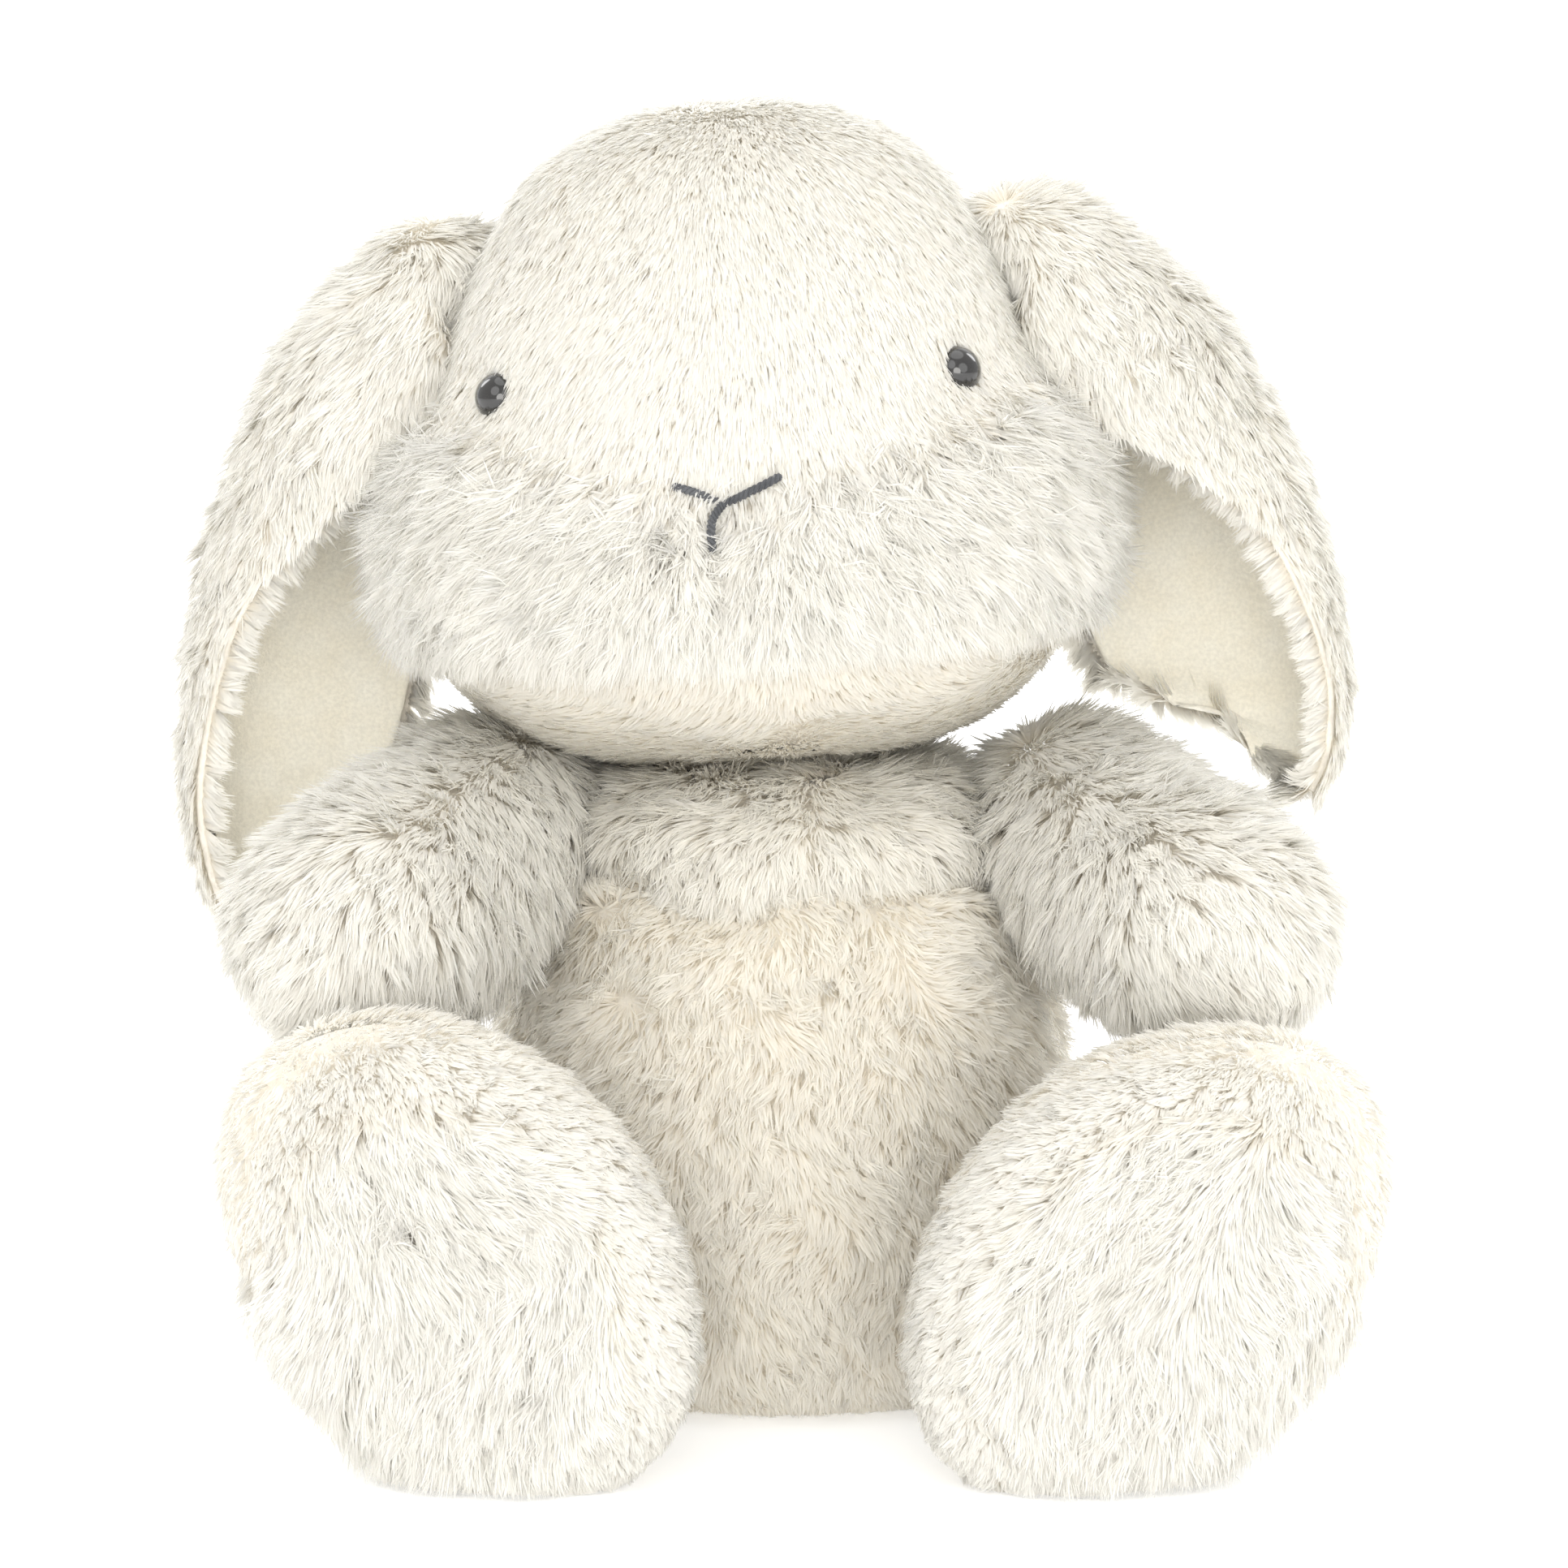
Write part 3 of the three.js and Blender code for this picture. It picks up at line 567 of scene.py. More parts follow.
for name, side in (("left", 1), ("right", -1)):
    place, way = surface_at(head_grid, EYE_X * side, EYE_Z)
    at, way = lean(place - way * 0.5), lean(way, True)
    foot = [(0, -1.0), (4.2, -1.0), (4.35, -0.4)]
    eye = turned(name + "_eye_dome", foot + dome(4.4, 3.9), at, way, gloss)
    rim = turned(
        name + "_eye_rim",
        [(0, -1.6), (4.9, -1.6), (5.1, -1.2), (4.9, -0.7), (4.5, -0.5), (0, -0.5)],
        at, way, rim_plastic,
    )
    for piece in (eye, rim):
        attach(piece, "head")
        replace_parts(piece, name + "_eye")
    nodes[name + "_eye_washer"].data.materials.clear()
    nodes[name + "_eye_washer"].data.materials.append(washer)

# %% [markdown]
# ## Stitched nose
#
# The nose is one long stitch pulled down at its middle, with an upright stitch below it. Thick
# embroidery thread is three plies twisted together, so each stitch is three thin tubes that wind
# round one path.


# %% Nose and mouth
PLIES = 3
STATIONS, SIDES = 90, 10  # rings along each ply, and points round each ring


def twisted_thread(name, path, radius, material, turns):
    """Plies wound round a path: each is a tube of radius * 0.55 whose centre goes round the path
    at radius * 0.5. The tubes narrow to a point at both ends of the stitch."""
    t = np.linspace(0, 1, STATIONS)
    spine = through(path, t)
    ahead = unit(np.gradient(spine, axis=0))
    side = unit(np.cross(ahead, [0, -1.0, 0.15]))
    top = np.cross(side, ahead)
    ends = np.clip(np.minimum(t, 1 - t) / 0.04, 0.02, 1) ** 0.5
    a = np.linspace(0, 2 * np.pi, SIDES, endpoint=False)
    verts, faces = [], []
    for ply in range(PLIES):
        wind = turns * 2 * np.pi * t + ply * 2 * np.pi / PLIES
        middle = spine + 0.5 * radius * ends[:, None] * (
            side * np.cos(wind)[:, None] + top * np.sin(wind)[:, None]
        )
        ring = side[:, None] * np.cos(a)[:, None] + top[:, None] * np.sin(a)[:, None]
        grid = middle[:, None] + 0.55 * radius * ends[:, None, None] * ring
        first = ply * STATIONS * SIDES
        i, j = np.arange(STATIONS - 1)[:, None] * SIDES, np.arange(SIDES)
        k = (j + 1) % SIDES
        quads = np.stack([i + k, i + j, i + SIDES + j, i + SIDES + k], -1).reshape(-1, 4)
        last = first + (STATIONS - 1) * SIDES
        faces += (first + quads).tolist() + [(first + j).tolist(), (last + j[::-1]).tolist()]
        verts.append(grid.reshape(-1, 3))
    return make_object(name, np.vstack(verts), faces, material)


def on_face(points, lift):
    """Points of the face given as (x, height), lifted off the skin and leaned with the head. The
    middle of a stitch stands a little prouder than its ends, which go into the cloth."""
    rises = lift + np.sin(np.linspace(0, np.pi, len(points))) - 0.4
    found = [surface_at(head_grid, x, z) for x, z in points]
    return np.array([lean(place + way * rise) for (place, way), rise in zip(found, rises)])


one_half = on_face([(-9, 173), (-5, 171.5), (-0.6, 169.4)], 1.2)
other_half = on_face([(5, 171.4), (10.5, 173.4)], 2.6)
nose = twisted_thread("nose_thread", np.vstack([one_half, other_half]), 0.8, thread, 8)
upright = on_face([(-0.6, 169.6), (-2.8, 165.5), (-3.2, 160.2)], 3.4)
mouth = twisted_thread("mouth_thread", upright, 0.8, thread, 4)
for piece, node in ((nose, "nose_stitch"), (mouth, "mouth_stitch")):
    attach(piece, "head")
    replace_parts(piece, node)

# %% [markdown]
# ## Ears
#
# An ear is a long leaf of fur cloth lined with velour, and it curls round its own length. The rows
# give where the leaf's outermost line runs, how tightly it curls, and how far each edge comes
# round. The front edge rolls over near the root, which is why only fur shows there.

# %% Ear surfaces
EAR_ROOT = np.array([47.0, 10.0, 210.0])
# for each row: how far out, how far down as a share of the drop, the curl's radius, and how many
# degrees the front and the back edge come round
EAR_ROWS = [
    (-3, -0.03, 11, 90, 75),
    (13, -0.05, 16.5, 112, 76),
    (35, 0.12, 21.5, 108, 90),
    (46, 0.30, 21.5, 80, 118),
    (54.5, 0.50, 21, 52, 136),
    (59.5, 0.78, 18, 30, 140),
    (58, 0.94, 13, 24, 130),
    (54, 1.02, 7, 24, 90),
]
EAR_DROP = {1: 103, -1: 117}
EAR_SPREAD = {1: 36, -1: 0}  # one ear is opened wider towards its tip


def ear_grid(side, along, across, offset, low=0.0, high=1.0, folds=0.0):
    """Points of a curled leaf, offset from its middle along its own outward direction.

    Round the outermost line the leaf is an arc: out = (r + offset) cos a - r, back = (r + offset)
    sin a, where a runs from minus the front angle to a quarter turn. From there it goes straight
    inwards behind the head, by r times the angle that is left. Folds are soft pleats that run the
    length of the lining.
    """
    u = np.linspace(0, 1, along)
    v = np.linspace(low, high, across)
    out, down, radius, front, back = through(EAR_ROWS, u).T
    down = down * EAR_DROP[side]
    back = back + EAR_SPREAD[side] * u
    ahead = unit(np.stack([np.gradient(out), 0 * u, -np.gradient(down)], 1))
    outwards = np.stack([-ahead[:, 2], 0 * u, ahead[:, 0]], 1)
    a = np.radians(-front[:, None] + (front + back)[:, None] * v)
    wave = np.sin(v * 15 + 2.2 * u[:, None])
    pleat = folds * wave * np.sin(np.pi * u[:, None]) ** 0.7 * 4 * v * (1 - v)
    reach = radius[:, None] + offset + pleat
    middle = np.stack([out, 0 * out, -down], 1)
    bent = np.minimum(a, np.pi / 2)
    inwards = radius[:, None] * (1 - np.cos(bent) + np.maximum(a - np.pi / 2, 0))
    rise = offset * np.cos(bent) + pleat * np.cos(bent) - inwards
    grid = middle[:, None] + rise[..., None] * outwards[:, None]
    grid[..., 1] += reach * np.sin(bent)
    grid += EAR_ROOT
    grid[..., 0] *= side
    return grid if side < 0 else grid[:, ::-1]


def thicken(obj, thickness):
    """Gives an open sheet its thickness on its inner side, with a rim all round."""
    wall = obj.modifiers.new("thickness", "SOLIDIFY")
    wall.thickness = thickness * MM
    wall.offset = -1
    return obj


def make_ear(name, side):
    body = name + "_ear"
    outer = lean(ear_grid(side, 44, 36, 2.4))
    inner = lean(ear_grid(side, 70, 60, -1.0, 0.02, 0.98, folds=0.7))
    cloth = thicken(open_sheet(body + "_cloth", outer, skin), 1.8)
    lining = thicken(open_sheet(body + "_velour", inner, velour), 0.6)
    for piece, node, look, grid in (
        (cloth, body + "_fur", "white_fur", outer),
        (lining, body + "_lining", "ear_velour", inner),
    ):
        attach(piece, body)
        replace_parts(piece, node)

    # the pile: over the outer face, and a fringe that comes round an edge on to the lining. `edge`
    # gives the direction past the edge from the shares along and across its strip of cloth, and
    # the fringe hooks round it by `hook` and is `long` millimetres.
    def ear_pile(label, grid, count, seed, edge=None, hook=None, long=None):
        roots, out, rows, columns = scatter(grid, False, count, seed)
        v = columns if side < 0 else 1 - columns
        comb = np.stack([side * (0.25 + 0 * v), 0.9 * (v - 0.45), -1.0 + 0 * v], 1)
        comb = comb + 0.45 * swirl(roots, 24, seed)
        length = (8.8 - 2.0 * rows) * (1 - 0.3 * np.exp(-((v / 0.12) ** 2)))
        length = length * (0.75 + 0.25 * smooth(rows, 0, 0.12))
        if edge is not None:
            past = edge(rows, columns)
            comb = 0.5 * comb - hook * out + (1.5 - hook) * past
            out = unit(past + 0.3 * out)
            length = long + 0 * rows
        made = pile(
            label, roots, out, comb, length, 0.14 + 0.1 * (1 - v), fur, seed,
            lean=0.6, bend=0.94, gather=0.3, tufts=0.03, tousle=0.22, wild=0.12, width=0.46,
        )
        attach(made, body)
        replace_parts(made, body + "_fur")

    seed = 41 if side > 0 else 45
    ear_pile(body + "_pile", outer, 62000, seed)
    for label, low, high, ends, hook, long in (
        ("front", 0.0, 0.035, side, 1.1, 6),
        ("back", 0.965, 1.0, -side, 0.8, 9),
    ):
        strip = lean(ear_grid(side, 44, 3, 1.6, low, high))
        past_side = unit(strip[:, -1] - strip[:, 0]) * ends

        def edge(rows, columns):
            return past_side[(rows * 43).astype(int)]

        ear_pile(body + f"_{label}_fringe", strip, 6000, seed + 1, edge, hook, long)
    tip = lean(ear_grid(side, 60, 36, 1.6))[-3:]
    past_tip = unit(tip[-1] - tip[0])

    def tip_edge(rows, columns):
        return past_tip[(columns * 35).astype(int)]

    ear_pile(body + "_tip_fringe", tip, 6000, seed + 2, tip_edge, 0.8, 10)


make_ear("left", 1)
make_ear("right", -1)

# %% [markdown]
# ## Limbs
#
# An arm is a fat sausage from the shoulder to the paw, and a leg is a thigh that opens into a tall
# foot. Both are sections along a path. Where a limb meets the torso, the torso's cloth is pressed
# in round it, so that nothing passes through anything else.

# %% Arms
SHOULDER = np.array([52.0, -8, 105])
ARM_HEADING, ARM_DROP = np.radians(32), np.radians(17)
# for each section: how far along the arm it is, and its radius
ARM_ROWS = [
    (-17, 0.1), (-16, 6), (-10, 13.5), (0, 19), (15, 20.6), (32, 21.4),
    (47, 21.6), (58, 18.4), (65.5, 10.5), (68.2, 4), (68.6, 0.1),
]


def arm_frame(side):
    level = np.cos(ARM_DROP)
    sideways, forwards = np.sin(ARM_HEADING) * level * side, -np.cos(ARM_HEADING) * level
    along = np.array([sideways, forwards, -np.sin(ARM_DROP)])
    across = unit(np.cross([0, 0, 1.0], along))
    return SHOULDER * [side, 1, 1], along, across, np.cross(along, across)


def arm_grid(side, rings=54, around=60):
    """Round sections along a straight line, a little uneven as a filled limb is."""
    place, along, across, upright = arm_frame(side)
    t = np.linspace(0, 1, rings)
    step, radius = through(ARM_ROWS, t).T
    a = np.linspace(0, 2 * np.pi, around, endpoint=False)
    ring = across * np.cos(a)[:, None] + upright * np.sin(a)[:, None]
    grid = place + step[:, None, None] * along + np.maximum(radius, 0.05)[:, None, None] * ring
    return raised(grid, True, lambda p: 0.8 * swirl(p, 30, 51)[..., 0])


def make_arm(name, side):
    body = name + "_arm"
    grid = arm_grid(side)
    cloth = closed_skin(body + "_skin", raised(grid, True, sunk), skin)
    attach(cloth, body)
    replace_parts(cloth, body + "_stuffing")
    _, along, _, _ = arm_frame(side)
    roots, out, rows, columns = scatter(grid, True, 70000, 52 + side)
    # a seam runs along the front of the arm, low on its inner side, and the pile parts there
    angle = columns * 2 * np.pi
    seam_at = np.pi * (1.32 if side > 0 else 1.68)
    off = np.angle(np.exp(1j * (angle - seam_at))) * 20
    part = np.exp(-((off / 4.5) ** 2)) * smooth(rows, 0.2, 0.4) * (1 - smooth(rows, 0.72, 0.85))
    around_it = unit(np.cross(along, out))
    comb = 0.15 * along + [0.45 * side, 0, -1.0] + 0.5 * swirl(roots, 26, 53)
    comb = comb + around_it * (np.sign(off) * part * 1.6)[:, None]
    length = (9.4 - 1.2 * rows) * (1 - 0.45 * part)
    made = pile(
        body + "_pile", roots, out, comb, length, 0.16 + 0.2 * part, fur, 54 + side,
        lean=0.56, bend=0.92, gather=0.3, tufts=0.03, tousle=0.24, wild=0.12, width=0.46,
    )
    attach(made, body)
    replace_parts(made, body + "_outer_panel", body + "_inner_panel")


make_arm("left", 1)
make_arm("right", -1)

# %% [markdown]
# A leg's sections stand across its length. They begin as a small round at the hip, and end as the
# tall leaning oval of the foot, whose front is the sole. The toy sits on them, so nothing goes
# below the floor. The edge round the sole is a panel of short smooth pile, and the sole itself and
# the toes are long.

# %% Legs
FOOT_Y = -86.0
SOLE_ROW = 8  # the row whose middle and half sizes the sole's pile is measured from
# for each section: y, middle x, middle z, half width, half height, and its share of the foot's lean
LEG_ROWS = {
    1: [
        (-15, 52, 26.5, 0.1, 0.1, 0), (-16.5, 52, 26.5, 9, 9, 0), (-22, 52, 26.5, 17, 17, 0),
        (-32, 52, 26.5, 22.3, 22.3, 0), (-46, 54, 26, 23.6, 23.6, 0), (-60, 57, 27, 26, 26.5, 0.2),
        (-69, 60, 31.5, 29, 36, 0.7), (-77, 62, 36.5, 32.5, 45, 1), (-87, 63, 38.5, 34, 48, 1),
        (-96, 63, 38.5, 31.5, 45.5, 1), (-102, 63, 38.3, 25, 36, 1), (-104.4, 63, 38, 14, 21, 1),
        (-105, 63, 38, 0.1, 0.1, 1),
    ],
    -1: [
        (-15, 52, 26.5, 0.1, 0.1, 0), (-16.5, 52, 26.5, 9, 9, 0), (-22, 52, 26.5, 17, 17, 0),
        (-32, 52, 26.5, 22.3, 22.3, 0), (-46, 53, 26, 23.6, 23.6, 0), (-60, 54, 27, 26, 26.5, 0.2),
        (-69, 55, 32, 29, 36, 0.7), (-77, 56, 37.5, 33.5, 45, 1), (-87, 56.5, 39.5, 35, 48, 1),
        (-96, 56.5, 39.5, 32.5, 45.5, 1), (-102, 56.5, 39.3, 25.5, 36, 1),
        (-104.4, 56.5, 39, 14, 21, 1), (-105, 56.5, 39, 0.1, 0.1, 1),
    ],
}
FOOT_TILT = {1: np.radians(45), -1: np.radians(41)}
FOOT_YAW = np.radians(8)
CLOTH_FLOOR = 1.2  # a leg's cloth goes no lower
BLADE_FLOOR = 0.3  # and no blade of the legs or the torso goes below this


def leg_grid(side, rings=70, around=80):
    """Leaning oval sections along -y. The foot's part turns outwards a little about its middle."""
    t = np.linspace(0, 1, rings)
    y, x, z, width, height, share = through(LEG_ROWS[side], t).T
    a = np.linspace(0, 2 * np.pi, around, endpoint=False)
    tilt = (FOOT_TILT[side] * share)[:, None]
    w = np.maximum(width, 0.05)[:, None] * np.cos(a)
    h = np.maximum(height, 0.05)[:, None] * np.sin(a) * (1 + 0.04 * np.cos(a))
    dx, dz = w * np.cos(tilt) + h * np.sin(tilt), h * np.cos(tilt) - w * np.sin(tilt)
    turn = FOOT_YAW * share[:, None]
    px = x[:, None] + dx * np.cos(turn)
    py = y[:, None] + dx * np.sin(turn) * 0.9
    pz = np.maximum(z[:, None] + dz, CLOTH_FLOOR)
    grid = np.stack([px * side, py, pz], -1)
    grid = grid if side > 0 else grid[:, ::-1]
    soft = raised(grid, True, lambda p: 1.0 * swirl(p, 42, 61)[..., 0] * smooth(p[..., 2], 2, 14))
    soft[..., 2] = np.maximum(soft[..., 2], CLOTH_FLOOR)
    return soft


def sunk_above_floor(p):
    """The foot of the pile, fading away where the cloth lies on the floor."""
    return -PILE_FOOT * smooth(p[..., 2], 1, 6)


def make_leg(name, side):
    body = name + "_leg"
    grid = leg_grid(side)
    cloth = closed_skin(body + "_skin", raised(grid, True, sunk_above_floor), skin)
    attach(cloth, body)
    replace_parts(cloth, body + "_stuffing", name + "_foot_pellets")
    _, middle_x, middle_z, half_width, half_height, _ = LEG_ROWS[side][SOLE_ROW]
    tilt = FOOT_TILT[side]
    toe = np.array([np.sin(tilt) * side, 0, np.cos(tilt)])
    wide = np.array([np.cos(tilt), 0, -np.sin(tilt) * side])

    def leg_pile(label, count, seed, sole):
        def keep(p):
            front = smooth(-p[..., 1], 93, 97)
            return (front if sole else 1 - front) + 1e-9

        roots, out, _, _ = scatter(grid, True, count, seed, keep)
        from_middle = roots - [middle_x * side, 0, middle_z]
        up, across = from_middle @ toe, from_middle @ wide
        ring = np.hypot(up / half_height, across / half_width)
        ring = np.where(roots[:, 1] < FOOT_Y, ring, 2 - ring)  # goes on rising round the edge
        inner = np.clip(smooth(-across * side, -14, 2) + smooth(up, 18, 26), 0, 1)
        rim = smooth(ring, 0.66, 0.74) * (1 - smooth(ring, 1.15, 1.3)) * inner
        seam = np.exp(-(((ring - 0.69) / 0.04) ** 2)) * inner
        foot = smooth(-roots[:, 1], 62, 76)
        comb = -toe * 0.7 + wide * (across / 45)[:, None] + [0.25 * side, 0, -0.35]
        comb = comb + 0.8 * swirl(roots, 27, 64) * (1 - 0.8 * rim[:, None])
        above = np.array([0.2 * side, -0.5, -0.7]) + 0.4 * swirl(roots, 26, 65)
        comb = above + (comb - above) * foot[:, None]
        length = 8.2 + (2.4 - 6.9 * rim - 2.4 * seam) * foot
        low = smooth(roots[:, 2], 2, 12)
        made = pile(
            label, roots, out, comb, length * (0.55 + 0.45 * low), 0.1 + 0.4 * seam * foot,
            fur, seed, lean=0.45, bend=0.85, gather=0.34, tufts=0.03, tousle=0.26, wild=0.14,
            width=0.46, floor=BLADE_FLOOR,
        )
        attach(made, body)
        return made

    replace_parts(leg_pile(body + "_sole_pile", 52000, 66 + side, True), name + "_sole_panel")
    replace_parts(leg_pile(body + "_pile", 44000, 69 + side, False), body + "_cover")


make_leg("left", 1)
make_leg("right", -1)

# %% [markdown]
# ## Torso
#
# The torso is a soft pear with a crease where the chest is sewn to the belly. Its cloth is pressed
# in wherever a limb lies against it. The belly is a cream panel with a shorter tousled pile, the
# chest is in the shade of the head and its pile is painted a little beige as that painted shade,
# and the back is white.

# %% Torso surface
# for each ring: height, half width, half depth and the y of its middle
TORSO_ROWS = [
    (0, 0.1, 0.1, 0), (0.0, 36, 34, 0), (6, 46.5, 44, 0), (20, 52, 49.5, 0), (42, 53, 50, -1),
    (63, 51, 49, -1), (82, 48, 45, -1), (98, 45, 40, -2), (108, 41.5, 36, -2), (114, 34, 29, -3),
    (117.3, 20, 17, -3), (118, 0.1, 0.1, -3),
]


def press(grid, place, along, low, high, radius):
    """Pushes points that lie inside a round-ended bar towards the torso's own axis, until they
    are on its surface: ten short steps, each over the depth that is left."""
    g = grid.copy()
    for _ in range(10):
        from_start = g - place
        step = np.clip(from_start @ along, low, high)
        gap = np.linalg.norm(from_start - step[..., None] * along, axis=-1)
        inwards = unit(np.stack([-g[..., 0], -g[..., 1], 0 * g[..., 0]], -1))
        g = g + inwards * np.maximum(radius - gap, 0)[..., None] * 0.6
    return g


def chest_line(p):
    """The height of the chest's lower seam: it waves a little and rises towards the arms."""
    x = p[..., 0]
    return 96 + 1.6 * np.sin(x / 9) + 1.2 * np.sin(x / 5 + 1) + 0.002 * x**2


def torso_height(p):
    front = smooth(-p[..., 1], 5, 25)
    crease = np.exp(-(((p[..., 2] - chest_line(p)) / 4) ** 2)) * front
    fold = np.exp(-(((p[..., 2] - 112) / 2.5) ** 2)) * front
    return 1.3 * swirl(p, 34, 71)[..., 0] * smooth(p[..., 2], 2, 12) - 3.2 * crease - 1.0 * fold


torso_grid = raised(oval_grid(TORSO_ROWS, 84, 120), True, torso_height)
for side in (1, -1):
    place, along, _, _ = arm_frame(side)
    torso_grid = press(torso_grid, place, along, -2, 50, 20.0)
    hip, heel = np.array([52.0 * side, -38, 26.5]), np.array([57.0 * side, -80, 27.0])
    torso_grid = press(torso_grid, hip, unit(heel - hip), -1, 40, 24.5)
torso_grid[..., 2] = np.maximum(torso_grid[..., 2], 0.4)
torso_skin = closed_skin("torso_skin", raised(torso_grid, True, sunk_above_floor), skin)
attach(torso_skin, "torso")
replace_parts(torso_skin, "torso_stuffing", "seat_pellet_pouch")
print("torso skin:", len(torso_skin.data.vertices), "points")


# %% Torso pile
def torso_pile(name, count, seed, keep, node, stray, long, panel_cream_and_shade, **look):
    roots, out, _, _ = scatter(torso_grid, True, count, seed, lambda p: keep(p) + 1e-9)
    crease = np.exp(-(((roots[:, 2] - chest_line(roots)) / 4) ** 2)) * smooth(-roots[:, 1], 5, 25)
    comb = np.stack([roots[:, 0] / 90, 0 * crease, -0.8 + 0 * crease], 1)
    comb = comb + stray * swirl(roots, 22, seed)
    comb[:, 2] += 0.7 * crease * np.sign(roots[:, 2] - chest_line(roots))
    length = long * (1 - 0.35 * crease) * (0.5 + 0.5 * smooth(roots[:, 2], 2, 12))
    # creamier along the crease: painted shade in the fold
    cream_and_shade = panel_cream_and_shade + 0.15 * crease
    made = pile(name, roots, out, comb, length, cream_and_shade, fur, seed, floor=BLADE_FLOOR, **look)
    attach(made, "torso")
    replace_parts(made, node)
    return made


def is_front(p):
    return p[..., 1] < 4


torso_pile(
    "belly_pile", 84000, 81, lambda p: is_front(p) * (p[..., 2] < chest_line(p)), "belly_panel",
    0.8, 6.6, 0.78,
    lean=0.54, bend=0.92, gather=0.36, tufts=0.05, tousle=0.32, wild=0.18, width=0.44,
)
# the chest's tint of 0.4 is painted shade under the head; the belly's 0.78 is its own cream
torso_pile(
    "chest_pile", 30000, 82, lambda p: is_front(p) * (p[..., 2] >= chest_line(p)), "chest_panel",
    0.5, 8.2, 0.4,
    lean=0.54, bend=0.92, gather=0.36, tufts=0.04, tousle=0.28, wild=0.15, width=0.46,
)
torso_pile(
    "back_pile", 34000, 83, lambda p: ~is_front(p), "back_panel",
    0.45, 8.4, 0.14,
    lean=0.45, bend=0.86, gather=0.36, tufts=0.03, tousle=0.28, wild=0.15, width=0.5,
)

# %% [markdown]
# ## Tail, closing stitches and label
#
# The tail is a ball of the longest pile. The toy is closed up its back by hand with pale thread
# after it is filled, and a small blank tape label is caught in the seat's seam beside the tail.

# %% Tail
TAIL = np.array([0.0, 61.9, 30.0])
TAIL_RADIUS = 16.0
a = np.linspace(-np.pi / 2, np.pi / 2, 26)
round_it = np.maximum(TAIL_RADIUS * np.cos(a), 0.1)
tail_rows = np.stack([TAIL[2] + TAIL_RADIUS * np.sin(a), round_it, round_it, TAIL[1] + 0 * a], 1)
tail_grid = oval_grid(tail_rows, 36, 44)
tail_skin = closed_skin("tail_skin", tail_grid, skin)
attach(tail_skin, "torso")
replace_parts(tail_skin, "tail_stuffing")
roots, out, _, _ = scatter(tail_grid, True, 14000, 91, lambda p: smooth(p[..., 1], 46, 52) + 1e-9)
comb = out + [0, 0.2, -0.5] + 0.6 * swirl(roots, 20, 92)
same = np.ones(len(roots))
tail_pile = pile(
    "tail_pile", roots, out, comb, 8.0 * same, 0.12 * same, fur, 93,
    lean=0.3, bend=0.6, gather=0.34, tufts=0.04, tousle=0.5, wild=0.3, width=0.55,
)
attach(tail_pile, "torso")
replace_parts(tail_pile, "tail_cover")

# %% Closing stitches and label
steps = np.linspace(56, 84, 8)
flat, out = torso_grid.reshape(-1, 3), facing(torso_grid, True).reshape(-1, 3)


def on_back(x, z):
    gap = (flat[:, 0] - x) ** 2 + (flat[:, 2] - z) ** 2 + np.where(flat[:, 1] < 0, 1e6, 0)
    near = np.argsort(gap)[:8]
    return flat[near].mean(0), unit(out[near].mean(0))


path = []
for k, z in enumerate(steps):
    place, way = on_back(1.6 * (-1) ** k, z)
    path.append(place + way * (0.9 if k % 2 else 0.3))
closing = twisted_thread("closing_thread", np.array(path), 0.6, pale_thread, 12)
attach(closing, "torso")
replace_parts(closing, "closing_stitch")

place, way = on_back(-27, 28)
across_it = unit(np.cross([0, 0, 1.0], way))
u, v = np.linspace(-1, 1, 14)[None, :, None], np.linspace(0, 1, 22)[:, None, None]
curl = 3.0 * v**2 + 0.6 * np.sin(3 * v + u)
label_grid = place + way * (2.0 + curl) + across_it * u * 8 + np.array([0, 0, 1.0]) * (24 * v - 2)
label = thicken(open_sheet("blank_label", label_grid, tape), 0.4)
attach(label, "torso")
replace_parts(label, "care_label")

# %% [markdown]
# The neck is a ball of filling inside the head and the torso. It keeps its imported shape, because
# nothing of it shows.

# %% Carried-over pieces
nodes["neck_stuffing"].data.materials.clear()
nodes["neck_stuffing"].data.materials.append(fibre)

# %% [markdown]
# ## Studio
#
# A pale floor runs up into a pale wall with no edge. Soft round lamps stand at the front left and
# the front right, a warm one low in front fills the shade under the head, and a weak one hangs
# above. Two more light the wall. The camera is nearly level, far away and long.


# %% Floor and wall
def sweep(width, near, far, height, bend):
    """A floor that curves up into a wall: a line, a quarter circle, and a line, drawn sideways."""
    a = np.linspace(-np.pi / 2, 0, 24)
    curve = list(zip(far + bend * np.cos(a), bend + bend * np.sin(a)))
    y, z = np.array([(near, 0.0)] + curve + [(far + bend, height)]).T
    x = np.array([-width, width])
    return np.stack(np.broadcast_arrays(x[None, :], y[:, None], z[:, None]), -1)


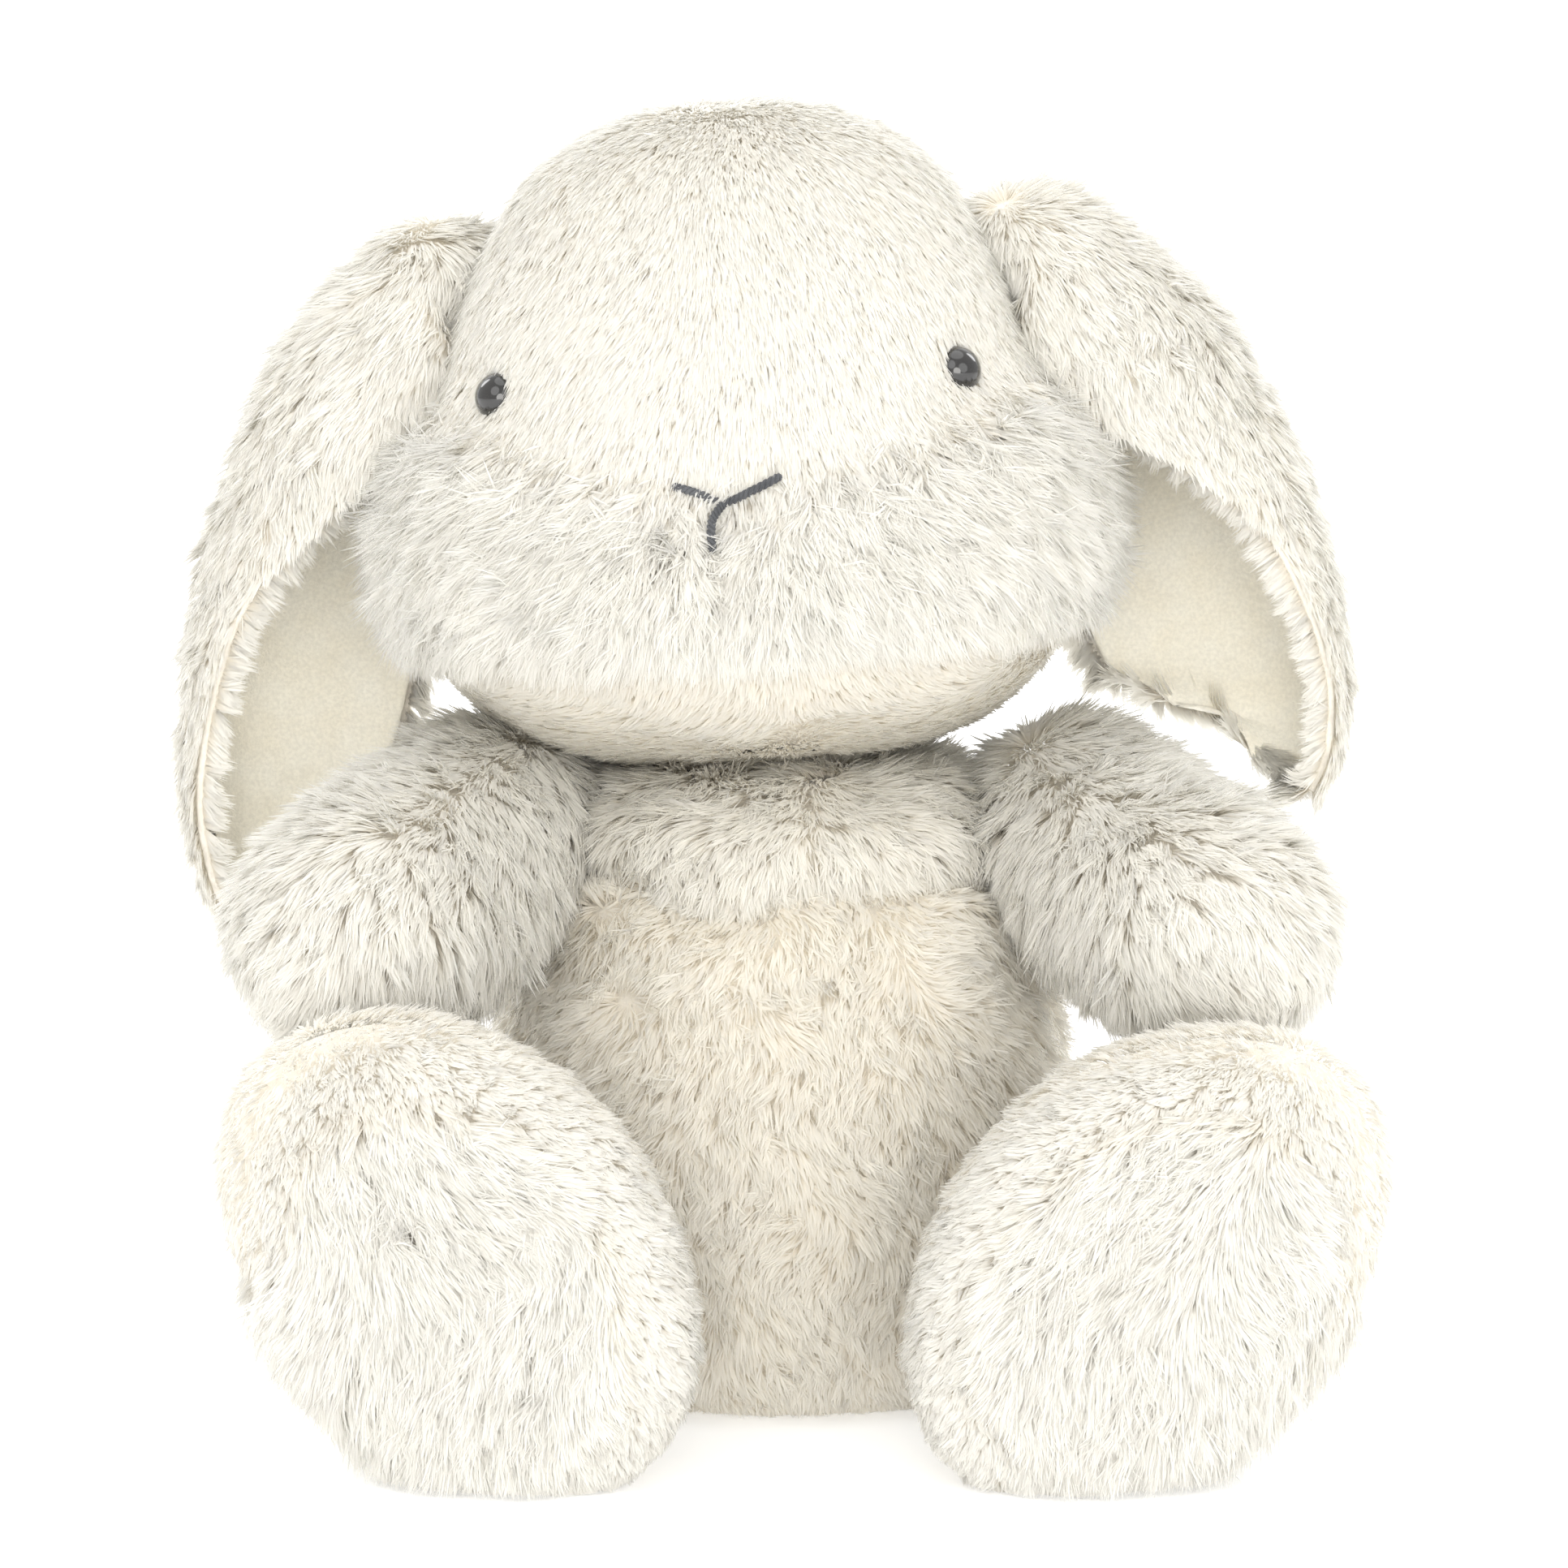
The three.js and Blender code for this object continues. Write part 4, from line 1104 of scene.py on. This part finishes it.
backdrop, tree, shader, _ = new_material("pale_paper")
shade = ramp(tree, noise(tree, 3), [(0.3, (0.90, 0.90, 0.90)), (0.7, (0.93, 0.93, 0.93))])
tree.links.new(shade, shader.inputs["Base Color"])
shader.inputs["Roughness"].default_value = 0.9
shader.inputs["Specular IOR Level"].default_value = 0.1
tree.links.new(shade, shader.inputs["Emission Color"])
shader.inputs["Emission Strength"].default_value = 0.42  # so that the floor stays white
paper = open_sheet("studio_sweep", sweep(4000, -2500, 1400, 4200, 900), backdrop)


# %% Lamps and camera
def aim(away):
    """The turn that points an object's -Z from a place at `away` back to the origin."""
    return Vector(away.tolist()).to_track_quat("Z", "Y").to_euler()


def lamp(name, place, target, size, watts, colour=(1, 1, 1)):
    light = bpy.data.lights.new(name, "AREA")
    light.shape, light.size, light.energy, light.color = "DISK", size, watts, colour
    obj = bpy.data.objects.new(name, light)
    bpy.context.collection.objects.link(obj)
    away = np.array(place, float) - np.array(target, float)
    obj.location = place
    obj.rotation_euler = aim(away)


middle = (0, 0, 0.11)
lamp("key", (-0.8, -1.6, 1.3), middle, 1.5, 8)
lamp("fill", (1.1, -1.6, 0.8), middle, 1.5, 7)
lamp("low", (0.1, -1.9, 0.25), (0, 0, 0.08), 1.2, 16, (1, 0.985, 0.95))
lamp("top", (0.1, -0.2, 1.9), middle, 1.6, 7)
lamp("wall_left", (-1.6, 0.9, 1.6), (0, 2.2, 0.8), 1.2, 16)
lamp("wall_right", (1.6, 0.9, 1.6), (0, 2.2, 0.8), 1.2, 16)

world = bpy.data.worlds.new("studio")
world.use_nodes = True
world.node_tree.nodes["Background"].inputs["Color"].default_value = (1, 0.99, 0.97, 1)
world.node_tree.nodes["Background"].inputs["Strength"].default_value = 0.95
bpy.context.scene.world = world

ELEVATION, DISTANCE = np.radians(7.0), 1.2
camera = bpy.data.cameras.new("camera")
camera.lens = 147.3
camera.sensor_width = 36
view = bpy.data.objects.new("camera", camera)
bpy.context.collection.objects.link(view)
look_at = np.array([0.0, 0.0, 0.112])
away = np.array([0, -np.cos(ELEVATION), np.sin(ELEVATION)]) * DISTANCE
view.location = look_at + away
view.rotation_euler = aim(away)
bpy.context.scene.camera = view
bpy.context.scene.view_settings.view_transform = "Standard"
bpy.context.scene.view_settings.look = "None"
bpy.context.scene.view_settings.exposure = -0.08
